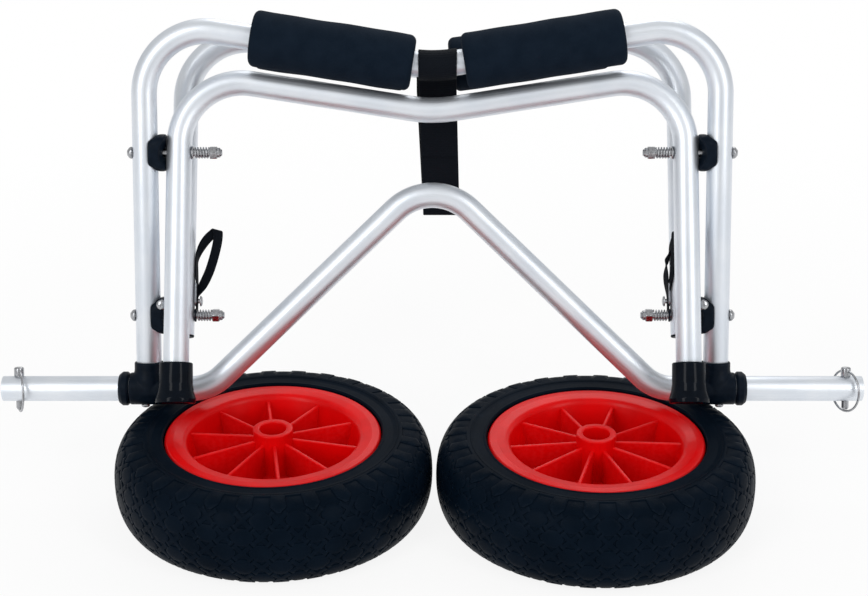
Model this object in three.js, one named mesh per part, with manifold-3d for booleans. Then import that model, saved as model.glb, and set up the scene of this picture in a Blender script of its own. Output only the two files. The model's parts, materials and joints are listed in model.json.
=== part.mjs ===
// Folding kayak cart: bent aluminium frames on an arched axle, standing folded over its two wheels.
// Millimetres, +Z up, X along the axle. The origin is the middle of the footprint, on the floor.
import * as THREE from "three";
import { mergeVertices } from "three/addons/utils/BufferGeometryUtils.js";
import Module from "manifold-3d";

const solids = await Module();
solids.setup();

const radians = THREE.MathUtils.degToRad;
const sideSigns = { left: -1, right: 1 };

// Gaps between pieces that touch, and round the ones that slide or turn
const gap = 0.3;
const looseGap = 0.5;

// Aluminium tube, and the way that each crossbar dips to its middle
const tube = { radius: 10.6, bore: 9, sides: 12 };
const crossbar = { slope: radians(9), bend: 52, bendSteps: 6, middleBend: 110, middleSteps: 2 };

// Wheels, lying flat, with their places on the floor
const wheels = {
  left: { x: -132, y: 0, ribPhase: 98 },
  right: { x: 135, y: -8.5, ribPhase: 74 },
};
const tyre = {
  radius: 132, width: 72.8, depth: 22.3, roundness: 2.3, steps: 400,
  seat: 82.3, seatHalf: 28.4, flangeSeat: 90.6, flangeHalf: 28.8, lip: 93,
};

// Tread: a checkerboard of flat pads and hollows on the crown, and a row of lugs on each shoulder.
// Distances run along the tyre's section, from the middle of the tread.
const tread = {
  pitches: 28, rows: 5, cell: 13.5, hollow: 2,
  lugMiddle: 43, lugEnd: 50.9, recess: 1.1, recessFrom: 34.6, recessTo: 50.4,
};
const hub = { radius: 16.5, bore: 11, from: 2.5, to: 76, sides: 16 };
const rib = { count: 10, thickness: 3, inner: 13, outer: 73, from: 6, to: 68 };

// Rim section: radius, and height above the middle of the wheel, from the hub out to the bead seat
const rimSection = [
  [11.6, 3], [64, 3], [70.8, 30.3], [75, 33.9], [87.6, 34.3],
  [89.4, 32.7], [89.4, 30.1], [81.6, 29.1],
];
const rimSides = 24;

// Axle with its arch, and the tees, collars and screws on it, just over the tyres
const tee = { radius: 13.65, from: 226, to: 256.4, socketRadius: 12.4, socketTop: 23.4, sides: 16 };
const collar = { radius: 14.4, from: 256.9, to: 265.7, inBevel: 1.3, outBevel: 2.1 };
const axle = {
  halfLength: 364.7, y: 51.2, z: tyre.width + tee.radius + looseGap,
  boreDepth: 32, archFoot: 189.4, archPeak: 181.8, footBend: 38, peakBend: 45,
};
const teeScrew = { place: 244, shank: 2, bore: 2.3, top: -7.6, head: 3.6, headThickness: 2 };

// Main frame, leaning back from the axle, with the heights of the two pivots on its legs
const mainFrame = { lean: radians(16.7), halfWidth: 240.3, legStart: 11.6, middleHeight: 271.6 };
const pivots = { upper: 200, lower: 62.8 };

// Kickstand, on the upper pivots
const armHalfWidth = 211.8;
const kickstand = { lean: radians(30.2), middleHeight: 34.8, legStart: -205.5 };
const foot = { sole: -209.5, length: 33.5, radius: 14.1, flare: 16.8, sides: 16 };

// Cradle arm, on the lower pivots
const cradle = { lean: radians(32), middleHeight: 214.9, tail: -17.2, plugBore: 11 };
const plugCap = { thickness: 1.6, edge: 0.9, edgeIn: 1.4 };

// Foam pads, by where they start and end across the frame
const pad = { radius: 23.5, edge: 4, sides: 18 };
const mainPads = { left: [-151.5, -17], right: [26.2, 160.5] };
const cradlePads = { left: [-151, -20.5], right: [14.5, 150] };

// Pivot bolts with their saddles, washers, springs and nuts
const bolt = { radius: 3, bore: 3.4, head: 5, headHeight: 4.3, chamfer: 0.7, sides: 10 };
const washer = { radius: 5.4, thickness: 1.2 };
const spring = { radius: 4.4, wire: 0.6, curls: 6, length: 13, curlSteps: 8, sides: 5 };
const nut = { flat: 5, length: 8.7, hexLength: 6.2, collarRadius: 4.2 };
const saddle = { halfHeight: 15.5, halfDepth: 13.2, across: 8.6, up: 4.6, bevel: 2, bevelIn: 1 };

// Lock pins through the ends of the axle, and the ring bails in their heads
const pin = { place: 351, radius: 3.1, tip: -17.8, top: 18.4, head: 4.2, bailHole: 15.5, sides: 12 };
const bail = { radius: 17.4, wire: 1, holeRadius: 1.9, sides: 5, steps: 20, turn: { left: 22, right: 28 } };

// Strap between the two crossbars: where its slack fold hangs, as distances back and up
const strap = {
  width: 32, cradleWidth: 28, thickness: 2.2, mainX: 4, cradleX: -4, rise: 1, sides: 24,
  frontY: 157, backY: 166.5, bendZ: 298, foldZ: 204.5, bend: 30, foldBend: 4.4,
};

// Anchors inside the cradle legs: a tab, its rivet, and a flat loop of webbing whose outline and
// opening are [x, height] and whose plane is turned about the upright line at "hinge"
const anchor = { height: 12, bore: 2.3, tabThickness: 1.5, tabWidth: 10, tabLength: 20, tabRise: 5.5, sides: 8 };
const loop = { thickness: 2.4, hinge: 198 };
const loops = {
  left: {
    turn: 0,
    outline: [
      [196.8, 22.5], [193.1, 22], [188.4, 30], [184.3, 39.3], [181.3, 50.9], [179.2, 62.4], [178.6, 69.6],
      [179.6, 73.3], [182.7, 74.8], [188.1, 75], [193.4, 71.2], [197.1, 65.2], [199.6, 58], [200.4, 50],
      [200.4, 38], [200, 30.5],
    ],
    opening: [
      [198, 34], [198.6, 42], [197.9, 49.8], [194.7, 54.7], [191.1, 60.2], [186.8, 65.2], [188.8, 53.6],
      [191.3, 43.7], [194.2, 36.6], [196.4, 31],
    ],
  },
  right: {
    turn: 114,
    outline: [
      [202, 29], [202.2, 42], [201, 45.5], [197.5, 45], [193.4, 53], [188.5, 62], [184, 68], [180.5, 70.5],
      [179, 67], [179.5, 58], [181, 48], [183.5, 38], [186, 31], [189, 29],
    ],
    opening: [[193.8, 36], [194.4, 42], [189.5, 50], [185, 60], [184.5, 52], [187, 42], [189.5, 35.5]],
  },
};

const finishes = {
  tube: { color: 0xd9dce0, roughness: 0.35, metalness: 0.9 },
  zinc: { color: 0xc4c6c8, roughness: 0.3, metalness: 1 },
  fitting: { color: 0x14171c, roughness: 0.5, metalness: 0 },
  foot: { color: 0x0d0f12, roughness: 0.2, metalness: 0 },
  foam: { color: 0x141c26, roughness: 0.95, metalness: 0 },
  webbing: { color: 0x0c0e12, roughness: 0.8, metalness: 0 },
  tyre: { color: 0x10141a, roughness: 0.75, metalness: 0 },
  rim: { color: 0xd01017, roughness: 0.35, metalness: 0 },
};
const materials = {};
for (const [name, look] of Object.entries(finishes)) {
  materials[name] = new THREE.MeshStandardMaterial(look);
}

// Signed volume, used to make sure that faces point out
function signedVolume(positions, index) {
  const a = new THREE.Vector3();
  const b = new THREE.Vector3();
  const c = new THREE.Vector3();
  let sum = 0;
  for (let i = 0; i < index.length; i += 3) {
    a.fromArray(positions, index[i] * 3);
    b.fromArray(positions, index[i + 1] * 3);
    c.fromArray(positions, index[i + 2] * 3);
    sum += a.dot(b.cross(c)) / 6;
  }
  return sum;
}

// One closed body: shared vertices merged, empty triangles dropped, faces out
function closed(geometry) {
  const bare = geometry.clone();
  bare.deleteAttribute("normal");
  bare.deleteAttribute("uv");
  const merged = mergeVertices(bare, 1e-4);
  const positions = merged.attributes.position.array;
  let index = [];
  for (let i = 0; i < merged.index.count; i += 3) {
    const [a, b, c] = [0, 1, 2].map((k) => merged.index.getX(i + k));
    if (a !== b && b !== c && c !== a) index.push(a, b, c);
  }
  if (signedVolume(positions, index) < 0) index = index.reverse();
  merged.setIndex(index);
  merged.computeVertexNormals();
  return merged;
}

function asSolid(geometry) {
  const body = closed(geometry);
  return new solids.Manifold(new solids.Mesh({
    numProp: 3,
    vertProperties: new Float32Array(body.attributes.position.array),
    triVerts: new Uint32Array(body.index.array),
  }));
}

function asGeometry(solid) {
  const mesh = solid.getMesh();
  const geometry = new THREE.BufferGeometry();
  geometry.setAttribute("position", new THREE.BufferAttribute(mesh.vertProperties, 3));
  geometry.setIndex(Array.from(mesh.triVerts));
  geometry.computeVertexNormals();
  return geometry;
}

// Joins the first list into one body, then cuts the second list out of it
function shaped(added, removed = []) {
  let solid = asSolid(added[0]);
  for (const piece of added.slice(1)) solid = solid.add(asSolid(piece));
  for (const piece of removed) solid = solid.subtract(asSolid(piece));
  return asGeometry(solid);
}

// Round bar from one height to another along Z, at a place across it
function bar(radius, from, to, sides, x = 0, y = 0) {
  const geometry = new THREE.CylinderGeometry(radius, radius, Math.abs(to - from), sides);
  geometry.rotateX(Math.PI / 2);
  geometry.translate(x, y, (from + to) / 2);
  return geometry;
}

// The same along X, at a height
function crossBar(radius, from, to, sides, z = 0) {
  const geometry = bar(radius, from, to, sides);
  geometry.rotateY(Math.PI / 2);
  geometry.translate(0, 0, z);
  return geometry;
}

// Turned shape from a profile of [radius, height] about Z
function turned(profile, sides) {
  const points = profile.map(([radius, height]) => new THREE.Vector2(radius, height));
  const geometry = new THREE.LatheGeometry(points, sides);
  geometry.rotateX(Math.PI / 2);
  return geometry;
}

// Turned shape about X whose heights are distances from the middle of the cart
function turnedOutward(profile, sides, sign) {
  const geometry = closed(turned(profile, sides));
  geometry.rotateY(sign * Math.PI / 2);
  return geometry;
}

// A curve known at its stations, so that a bar along it has a ring at each one and no more
class StationPath extends THREE.Curve {
  constructor(stations) {
    super();
    this.stations = stations;
  }

  station(share) {
    return this.stations[Math.round(share * (this.stations.length - 1))];
  }

  getPointAt(share, target = new THREE.Vector3()) {
    return target.copy(this.station(share).point);
  }

  getTangentAt(share, target = new THREE.Vector3()) {
    return target.copy(this.station(share).tangent);
  }
}

// Straight runs between corners, joined by arcs of a radius and a number of steps
function bentPath(corners, bends) {
  const stations = [];
  const toward = (from, to) => to.clone().sub(from).normalize();
  stations.push({ point: corners[0], tangent: toward(corners[0], corners[1]) });
  bends.forEach(([radius, steps], bend) => {
    const corner = corners[bend + 1];
    const into = toward(corners[bend], corner);
    const out = toward(corner, corners[bend + 2]);
    const turn = into.angleTo(out);
    const start = corner.clone().addScaledVector(into, -radius * Math.tan(turn / 2));
    const inward = out.clone().addScaledVector(into, -out.dot(into)).normalize();
    for (let step = 0; step <= steps; step += 1) {
      const angle = (turn * step) / steps;
      const point = start.clone().addScaledVector(into, radius * Math.sin(angle));
      point.addScaledVector(inward, radius * (1 - Math.cos(angle)));
      const tangent = into.clone().multiplyScalar(Math.cos(angle)).addScaledVector(inward, Math.sin(angle));
      stations.push({ point, tangent });
    }
  });
  stations.push({ point: corners.at(-1), tangent: toward(corners.at(-2), corners.at(-1)) });
  return new StationPath(stations);
}

// Regular outline with its corners at a radius
function evenOutline(radius, sides, phase = 0) {
  const corners = [];
  for (let i = 0; i < sides; i += 1) {
    const angle = (2 * Math.PI * (i + phase)) / sides;
    corners.push(new THREE.Vector2(radius * Math.cos(angle), radius * Math.sin(angle)));
  }
  return new THREE.Shape(corners);
}

function alongPath(path, radius, sides) {
  const steps = path.stations.length - 1;
  return new THREE.ExtrudeGeometry(evenOutline(radius, sides, 0.5), { steps, extrudePath: path });
}

// Groups carry the leaning frames; each has its pivot at its own origin
const cart = new THREE.Group();
function leaningGroup(y, z, lean) {
  const group = new THREE.Group();
  group.position.set(0, y, z);
  group.rotation.x = -lean;
  cart.add(group);
  return group;
}
function onMainFrame(height) {
  return [axle.y + height * Math.sin(mainFrame.lean), axle.z + height * Math.cos(mainFrame.lean)];
}
const mainGroup = leaningGroup(axle.y, axle.z, mainFrame.lean);
const kickstandGroup = leaningGroup(...onMainFrame(pivots.upper), kickstand.lean);
const cradleGroup = leaningGroup(...onMainFrame(pivots.lower), cradle.lean);

function addPiece(group, name, geometry, finish) {
  const mesh = new THREE.Mesh(closed(geometry), materials[finish]);
  mesh.name = name;
  group.add(mesh);
}

// U-shaped frame: two legs, and a crossbar that dips to the middle
function frameTube(halfWidth, legStart, middleHeight) {
  const shoulder = middleHeight + halfWidth * Math.tan(crossbar.slope);
  const corners = [
    new THREE.Vector3(-halfWidth, 0, legStart),
    new THREE.Vector3(-halfWidth, 0, shoulder),
    new THREE.Vector3(0, 0, middleHeight),
    new THREE.Vector3(halfWidth, 0, shoulder),
    new THREE.Vector3(halfWidth, 0, legStart),
  ];
  const corner = [crossbar.bend, crossbar.bendSteps];
  const path = bentPath(corners, [corner, [crossbar.middleBend, crossbar.middleSteps], corner]);
  return alongPath(path, tube.radius, tube.sides);
}

// Hole for a bolt, right through a leg
function boltHole(sign, halfWidth, height) {
  const reach = tube.radius + 4;
  return crossBar(bolt.bore, sign * (halfWidth - reach), sign * (halfWidth + reach), bolt.sides, height);
}

function mainFrameTube() {
  const holes = [];
  for (const sign of Object.values(sideSigns)) {
    for (const height of Object.values(pivots)) holes.push(boltHole(sign, mainFrame.halfWidth, height));
  }
  return shaped([frameTube(mainFrame.halfWidth, mainFrame.legStart, mainFrame.middleHeight)], holes);
}
addPiece(mainGroup, "main_frame_tube", mainFrameTube(), "tube");

function kickstandTube() {
  const holes = Object.values(sideSigns).map((sign) => boltHole(sign, armHalfWidth, 0));
  return shaped([frameTube(armHalfWidth, kickstand.legStart, kickstand.middleHeight)], holes);
}
addPiece(kickstandGroup, "kickstand_tube", kickstandTube(), "tube");

// The cradle's tails are bored for their plugs, and its legs drilled for the anchor rivets
const armInnerFace = armHalfWidth - tube.radius;
const armOuterFace = armHalfWidth + tube.radius;
function anchorHole(sign) {
  const reach = 8;
  return crossBar(
    anchor.bore, sign * (armInnerFace - reach), sign * (armInnerFace + reach / 2), anchor.sides, anchor.height,
  );
}
function cradleTube() {
  const cuts = [];
  for (const sign of Object.values(sideSigns)) {
    cuts.push(boltHole(sign, armHalfWidth, 0), anchorHole(sign));
    cuts.push(bar(tube.bore, cradle.tail - 1, cradle.tail + cradle.plugBore, tube.sides, sign * armHalfWidth));
  }
  return shaped([frameTube(armHalfWidth, cradle.tail, cradle.middleHeight)], cuts);
}
addPiece(cradleGroup, "cradle_tube", cradleTube(), "tube");

// Arched axle: open ends, holes for the lock pins, and screw holes under the tees
function axleTube() {
  const corners = [
    new THREE.Vector3(-axle.halfLength, 0, 0),
    new THREE.Vector3(-axle.archFoot, 0, 0),
    new THREE.Vector3(0, 0, axle.archPeak),
    new THREE.Vector3(axle.archFoot, 0, 0),
    new THREE.Vector3(axle.halfLength, 0, 0),
  ];
  const footBend = [axle.footBend, 4];
  const path = bentPath(corners, [footBend, [axle.peakBend, 6], footBend]);
  const cuts = [];
  const through = tube.radius + 2;
  for (const sign of Object.values(sideSigns)) {
    const boreStart = sign * (axle.halfLength - axle.boreDepth);
    cuts.push(crossBar(tube.bore, boreStart, sign * (axle.halfLength + 1), tee.sides));
    cuts.push(bar(pin.radius + gap, -through, through, pin.sides, sign * pin.place));
    cuts.push(bar(teeScrew.bore, -through, teeScrew.top + gap, bolt.sides, sign * teeScrew.place));
  }
  return shaped([alongPath(path, tube.radius, tube.sides)], cuts);
}
addPiece(mainGroup, "axle_tube", axleTube(), "tube");

// Tee fittings, with the main frame's legs in their sockets
const slidingBore = tube.radius + looseGap;
function teeFitting(sign) {
  const barrel = crossBar(tee.radius, sign * tee.from, sign * tee.to, tee.sides);
  const socket = bar(tee.socketRadius, 0, tee.socketTop, tee.sides, sign * mainFrame.halfWidth);
  const axleBore = crossBar(slidingBore, sign * (tee.from - 6), sign * (tee.to + 6), tee.sides);
  const legBore = bar(slidingBore, 0, tee.socketTop + 1, tee.sides, sign * mainFrame.halfWidth);
  const screwBore = bar(teeScrew.bore, -tee.radius - 2, -tube.radius + 2, bolt.sides, sign * teeScrew.place);
  return shaped([barrel, socket], [axleBore, legBore, screwBore]);
}

const collarBore = tube.radius + gap;
const collarProfile = [
  [collarBore, collar.from],
  [collar.radius - collar.inBevel, collar.from],
  [collar.radius, collar.from + collar.inBevel],
  [collar.radius, collar.to - collar.outBevel],
  [collar.radius - collar.outBevel, collar.to],
  [collarBore, collar.to],
  [collarBore, collar.from],
];
const screwSeat = -tee.radius - gap;
const screwProfile = [
  [0, teeScrew.top],
  [teeScrew.shank, teeScrew.top],
  [teeScrew.shank, screwSeat],
  [teeScrew.head, screwSeat],
  [teeScrew.head, screwSeat - teeScrew.headThickness / 2],
  [teeScrew.head - 1.2, screwSeat - teeScrew.headThickness],
  [0, screwSeat - teeScrew.headThickness],
];
for (const [name, sign] of Object.entries(sideSigns)) {
  addPiece(mainGroup, `${name}_tee_fitting`, teeFitting(sign), "fitting");
  addPiece(mainGroup, `${name}_tee_collar`, turnedOutward(collarProfile, tee.sides, sign), "fitting");
  const screw = turned(screwProfile, bolt.sides);
  screw.translate(sign * teeScrew.place, 0, 0);
  addPiece(mainGroup, `${name}_tee_screw`, screw, "zinc");
}

// Saddle spacer: hugs the inner half of a main leg and faces the arm beside it flat
function saddleSpacer(sign, height) {
  const inner = armOuterFace + gap + saddle.bevelIn;
  const outer = mainFrame.halfWidth - saddle.bevelIn;
  const top = saddle.halfHeight - saddle.bevelIn;
  const outline = new THREE.Shape([
    new THREE.Vector2(inner, -top),
    new THREE.Vector2(outer - saddle.across, -top),
    new THREE.Vector2(outer, saddle.up - top),
    new THREE.Vector2(outer, top - saddle.up),
    new THREE.Vector2(outer - saddle.across, top),
    new THREE.Vector2(inner, top),
  ]);
  const block = new THREE.ExtrudeGeometry(outline, {
    depth: 2 * (saddle.halfDepth - saddle.bevel),
    bevelThickness: saddle.bevel,
    bevelSize: saddle.bevelIn,
    bevelSegments: 1,
  });
  block.rotateX(Math.PI / 2);
  block.translate(0, saddle.halfDepth - saddle.bevel, 0);
  const body = closed(block);
  if (sign < 0) body.rotateZ(Math.PI);
  body.translate(0, 0, height);
  const reach = 2 * saddle.halfHeight;
  const legGroove = bar(slidingBore, height - reach, height + reach, tee.sides, sign * mainFrame.halfWidth);
  const hole = crossBar(bolt.bore, sign * armHalfWidth, sign * mainFrame.halfWidth, bolt.sides, height);
  return shaped([body], [legGroove, hole]);
}

// Bolt with a domed head outside the main leg, its shank running in past the nut
const mainOuterFace = mainFrame.halfWidth + tube.radius;
const washerSeat = armInnerFace - gap;
const springStart = washerSeat - washer.thickness - gap;
const springEnd = springStart - spring.length;
const nutEnd = springEnd - gap - nut.length;
const shankEnd = nutEnd - 1;
const boltProfile = [
  [0, mainOuterFace + bolt.headHeight],
  [bolt.head * 0.52, mainOuterFace + bolt.headHeight * 0.9],
  [bolt.head * 0.86, mainOuterFace + bolt.headHeight * 0.65],
  [bolt.head, mainOuterFace + bolt.headHeight * 0.33],
  [bolt.head, mainOuterFace + gap],
  [bolt.radius, mainOuterFace + gap],
  [bolt.radius, shankEnd],
  [bolt.radius - bolt.chamfer, shankEnd - bolt.chamfer],
  [0, shankEnd - bolt.chamfer],
];
const washerProfile = [
  [bolt.radius + gap, washerSeat],
  [washer.radius, washerSeat],
  [washer.radius, washerSeat - washer.thickness],
  [bolt.radius + gap, washerSeat - washer.thickness],
  [bolt.radius + gap, washerSeat],
];

// Compression spring: a straight end, the curls, and the other straight end, as one wire
function springPath(from, to) {
  const direction = Math.sign(to - from);
  const straight = 2 * spring.wire;
  const run = Math.abs(to - from) - 2 * straight;
  const steps = spring.curls * spring.curlSteps;
  const points = [new THREE.Vector3(from, spring.radius, 0)];
  for (let step = 0; step <= steps; step += 1) {
    const angle = (2 * Math.PI * step) / spring.curlSteps;
    const x = from + direction * (straight + (run * step) / steps);
    points.push(new THREE.Vector3(x, spring.radius * Math.cos(angle), spring.radius * Math.sin(angle)));
  }
  points.push(new THREE.Vector3(to, spring.radius, 0));
  const stations = points.map((point, i) => {
    const into = i > 0 ? point.clone().sub(points[i - 1]).normalize() : new THREE.Vector3();
    const out = i < steps + 2 ? points[i + 1].clone().sub(point).normalize() : new THREE.Vector3();
    return { point, tangent: into.add(out).normalize() };
  });
  return new StationPath(stations);
}

// Least gap between neighbouring turns of the wire, measured on points along its middle
function leastGap(path) {
  const points = path.stations.map((station) => station.point);
  const apart = spring.curlSteps - 3;
  let least = Infinity;
  for (let i = 0; i < points.length; i += 1) {
    for (let j = i + apart; j < points.length; j += 1) {
      least = Math.min(least, points[i].distanceTo(points[j]) - 2 * spring.wire);
    }
  }
  return least;
}

function lockNut(sign) {
  const hexOutline = evenOutline(nut.flat / Math.cos(Math.PI / 6), 6);
  const hexPart = new THREE.ExtrudeGeometry(hexOutline, { depth: nut.hexLength, bevelEnabled: false });
  const collarPart = bar(nut.collarRadius, nut.hexLength - 1, nut.length, pin.sides);
  const body = shaped([hexPart, collarPart], [bar(bolt.radius + gap, -1, nut.length + 1, pin.sides)]);
  body.rotateY(-sign * Math.PI / 2);
  body.translate(sign * (springEnd - gap), 0, 0);
  return body;
}

for (const [name, sign] of Object.entries(sideSigns)) {
  for (const [level, height] of Object.entries(pivots)) {
    const path = springPath(sign * springStart, sign * springEnd);
    console.log(`${name}_${level}_spring least gap between turns: ${leastGap(path).toFixed(2)} mm`);
    const onBolt = {
      bolt: turnedOutward(boltProfile, bolt.sides, sign),
      washer: turnedOutward(washerProfile, bolt.sides, sign),
      spring: alongPath(path, spring.wire, spring.sides),
      nut: lockNut(sign),
    };
    addPiece(mainGroup, `${name}_${level}_saddle`, saddleSpacer(sign, height), "fitting");
    for (const [kind, piece] of Object.entries(onBolt)) {
      piece.translate(0, 0, height);
      const finish = kind === "washer" && level === "lower" ? "fitting" : "zinc";
      addPiece(mainGroup, `${name}_${level}_${kind}`, piece, finish);
    }
  }
}

// Rubber feet on the kickstand legs: a cup with a flared sole
const footTop = foot.sole + foot.length;
const footFloor = kickstand.legStart - gap;
const footProfile = [
  [0, foot.sole],
  [foot.flare - 1.2, foot.sole],
  [foot.flare, foot.sole + 1.2],
  [foot.flare, foot.sole + 3.4],
  [foot.radius + 0.5, foot.sole + 9.5],
  [foot.radius, footTop - 1],
  [foot.radius - 0.9, footTop],
  [tube.radius + gap, footTop],
  [tube.radius + gap, footFloor],
  [0, footFloor],
];
for (const [name, sign] of Object.entries(sideSigns)) {
  const cup = turned(footProfile, foot.sides);
  cup.translate(sign * armHalfWidth, 0, 0);
  addPiece(kickstandGroup, `${name}_kickstand_foot`, cup, "foot");
}

// Foam pads on the straight halves of a crossbar, with rounded ends
function foamPad(from, to, middleHeight) {
  const slope = Math.sign(from) * crossbar.slope;
  const length = (to - from) / Math.cos(crossbar.slope);
  const bore = tube.radius + gap;
  const edge = (end, toward, degrees) => [
    pad.radius - pad.edge * (1 - Math.sin(radians(degrees))),
    end + toward * pad.edge * (1 - Math.cos(radians(degrees))),
  ];
  const profile = [
    [bore, 0],
    ...[0, 45, 90].map((degrees) => edge(0, 1, degrees)),
    ...[90, 45, 0].map((degrees) => edge(length, -1, degrees)),
    [bore, length],
    [bore, 0],
  ];
  const body = turned(profile, pad.sides);
  body.rotateY(Math.PI / 2 - slope);
  body.translate(from, 0, middleHeight + Math.abs(from) * Math.tan(crossbar.slope));
  return body;
}
for (const name of Object.keys(sideSigns)) {
  addPiece(mainGroup, `${name}_main_pad`, foamPad(...mainPads[name], mainFrame.middleHeight), "foam");
  addPiece(cradleGroup, `${name}_cradle_pad`, foamPad(...cradlePads[name], cradle.middleHeight), "foam");
}

// End plugs in the cradle's tails, low enough to pass the kickstand's legs as the cradle swings
const plugProfile = [
  [0, cradle.tail - plugCap.thickness],
  [tube.radius - plugCap.edgeIn, cradle.tail - plugCap.thickness],
  [tube.radius, cradle.tail - plugCap.edge],
  [tube.radius, cradle.tail - gap],
  [tube.bore - looseGap, cradle.tail - gap],
  [tube.bore - looseGap, cradle.tail + cradle.plugBore - 2],
  [0, cradle.tail + cradle.plugBore - 2],
];

// Strap anchors inside the cradle legs
const tabFace = armInnerFace - gap;
const rivetSeat = tabFace - anchor.tabThickness - gap;
const rivetProfile = [
  [0, tabFace + 2.8],
  [anchor.bore - gap, tabFace + 2.8],
  [anchor.bore - gap, rivetSeat],
  [4, rivetSeat],
  [3.6, rivetSeat - 1.3],
  [2.2, rivetSeat - 2.2],
  [0, rivetSeat - 2.2],
];
function anchorTab(sign) {
  const plate = new THREE.BoxGeometry(anchor.tabThickness, anchor.tabWidth, anchor.tabLength);
  plate.translate(sign * (tabFace - anchor.tabThickness / 2), 0, anchor.height + anchor.tabRise);
  return shaped([plate], [anchorHole(sign)]);
}

// The two edges of a band of webbing, at half its thickness to each side of its route
function bandEdges(stations, thickness) {
  const left = [];
  const right = [];
  for (const { point, tangent } of stations) {
    const across = new THREE.Vector2(-tangent.y, tangent.x).multiplyScalar(thickness / 2);
    left.push(new THREE.Vector2(point.x, point.y).add(across));
    right.push(new THREE.Vector2(point.x, point.y).sub(across));
  }
  return { left, right };
}

function webbingLoop(name, sign) {
  const { turn, outline, opening } = loops[name];
  const fromHinge = ([x, height]) => new THREE.Vector2(x - loop.hinge, height);
  const shape = new THREE.Shape(outline.map(fromHinge));
  shape.holes.push(new THREE.Path(opening.map(fromHinge)));
  const band = new THREE.ExtrudeGeometry(shape, { depth: loop.thickness, bevelEnabled: false });
  band.rotateX(Math.PI / 2);
  band.translate(0, loop.thickness / 2, 0);
  band.rotateZ(radians(turn));
  band.translate(loop.hinge, 0, 0);
  const body = closed(band);
  if (sign < 0) body.rotateZ(Math.PI);
  return body;
}

for (const [name, sign] of Object.entries(sideSigns)) {
  const plug = turned(plugProfile, pin.sides);
  plug.translate(sign * armHalfWidth, 0, 0);
  addPiece(cradleGroup, `${name}_cradle_plug`, plug, "fitting");
  addPiece(cradleGroup, `${name}_anchor_tab`, anchorTab(sign), "zinc");
  const rivet = turnedOutward(rivetProfile, anchor.sides, sign);
  rivet.translate(0, 0, anchor.height);
  addPiece(cradleGroup, `${name}_anchor_rivet`, rivet, "zinc");
  addPiece(cradleGroup, `${name}_webbing_loop`, webbingLoop(name, sign), "webbing");
}

// Strap: a sleeve round each crossbar and a slack fold of webbing hanging between them
function spreadStrap() {
  const lift = crossbar.middleBend * (1 / Math.cos(crossbar.slope) - 1) + strap.rise;
  const [mainY, mainZ] = onMainFrame(mainFrame.middleHeight + lift);
  const [pivotY, pivotZ] = onMainFrame(pivots.lower);
  const cradleReach = cradle.middleHeight + lift;
  const cradleY = pivotY + cradleReach * Math.sin(cradle.lean);
  const cradleZ = pivotZ + cradleReach * Math.cos(cradle.lean);
  const sleeveBore = tube.radius + strap.rise + 2 * gap;
  const sleeveRadius = sleeveBore + strap.thickness;
  const middle = sleeveBore + strap.thickness / 2;
  const corners = [
    [mainY + middle, mainZ],
    [strap.frontY, strap.bendZ],
    [strap.frontY, strap.foldZ],
    [strap.backY, strap.foldZ],
    [strap.backY, strap.bendZ],
    [cradleY - middle, cradleZ],
  ].map(([y, z]) => new THREE.Vector3(y, z, 0));
  const bend = [strap.bend, 3];
  const foldBend = [strap.foldBend, 4];
  const { left, right } = bandEdges(bentPath(corners, [bend, foldBend, foldBend, bend]).stations, strap.thickness);
  const outline = new THREE.Shape([...left, ...right.reverse()]);
  const band = new THREE.ExtrudeGeometry(outline, { depth: strap.width, bevelEnabled: false });
  band.translate(0, 0, -strap.width / 2);
  const sleeves = [];
  const bores = [];
  for (const [y, z, width] of [[mainY, mainZ, strap.width], [cradleY, cradleZ, strap.cradleWidth]]) {
    sleeves.push(bar(sleeveRadius, -width / 2, width / 2, strap.sides, y, z));
    bores.push(bar(sleeveBore, -strap.width, strap.width, strap.sides, y, z));
  }
  const body = shaped([band, ...sleeves], bores);
  body.applyMatrix4(new THREE.Matrix4().set(0, 0, 1, 0, 1, 0, 0, 0, 0, 1, 0, 0, 0, 0, 0, 1));
  const places = body.attributes.position;
  for (let i = 0; i < places.count; i += 1) {
    const along = THREE.MathUtils.inverseLerp(mainY + sleeveRadius, cradleY - sleeveRadius, places.getY(i));
    const share = THREE.MathUtils.clamp(along, 0, 1);
    places.setX(i, places.getX(i) + THREE.MathUtils.lerp(strap.mainX, strap.cradleX, share));
  }
  return body;
}
addPiece(cart, "spread_strap", spreadStrap(), "webbing");

// Lock pins and their ring bails, each pair turned about its own pin
const pinProfile = [
  [0, pin.tip],
  [pin.radius - 1, pin.tip],
  [pin.radius, pin.tip + 1.4],
  [pin.radius, tube.radius + gap],
  [pin.head, tube.radius + gap],
  [pin.head, pin.top - 0.9],
  [pin.head - 0.8, pin.top],
  [0, pin.top],
];
for (const [name, sign] of Object.entries(sideSigns)) {
  const holder = new THREE.Group();
  holder.position.x = sign * pin.place;
  holder.rotation.z = radians(bail.turn[name]);
  mainGroup.add(holder);
  const bailHole = bar(bail.holeRadius, -pin.head - 2, pin.head + 2, pin.sides);
  bailHole.rotateX(Math.PI / 2);
  bailHole.translate(0, 0, pin.bailHole);
  addPiece(holder, `${name}_lock_pin`, shaped([turned(pinProfile, pin.sides)], [bailHole]), "zinc");
  const ring = new THREE.TorusGeometry(bail.radius, bail.wire, bail.sides, bail.steps);
  ring.rotateY(Math.PI / 2);
  ring.translate(0, 0, pin.bailHole - bail.radius);
  addPiece(holder, `${name}_lock_pin_bail`, ring, "zinc");
}

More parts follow.
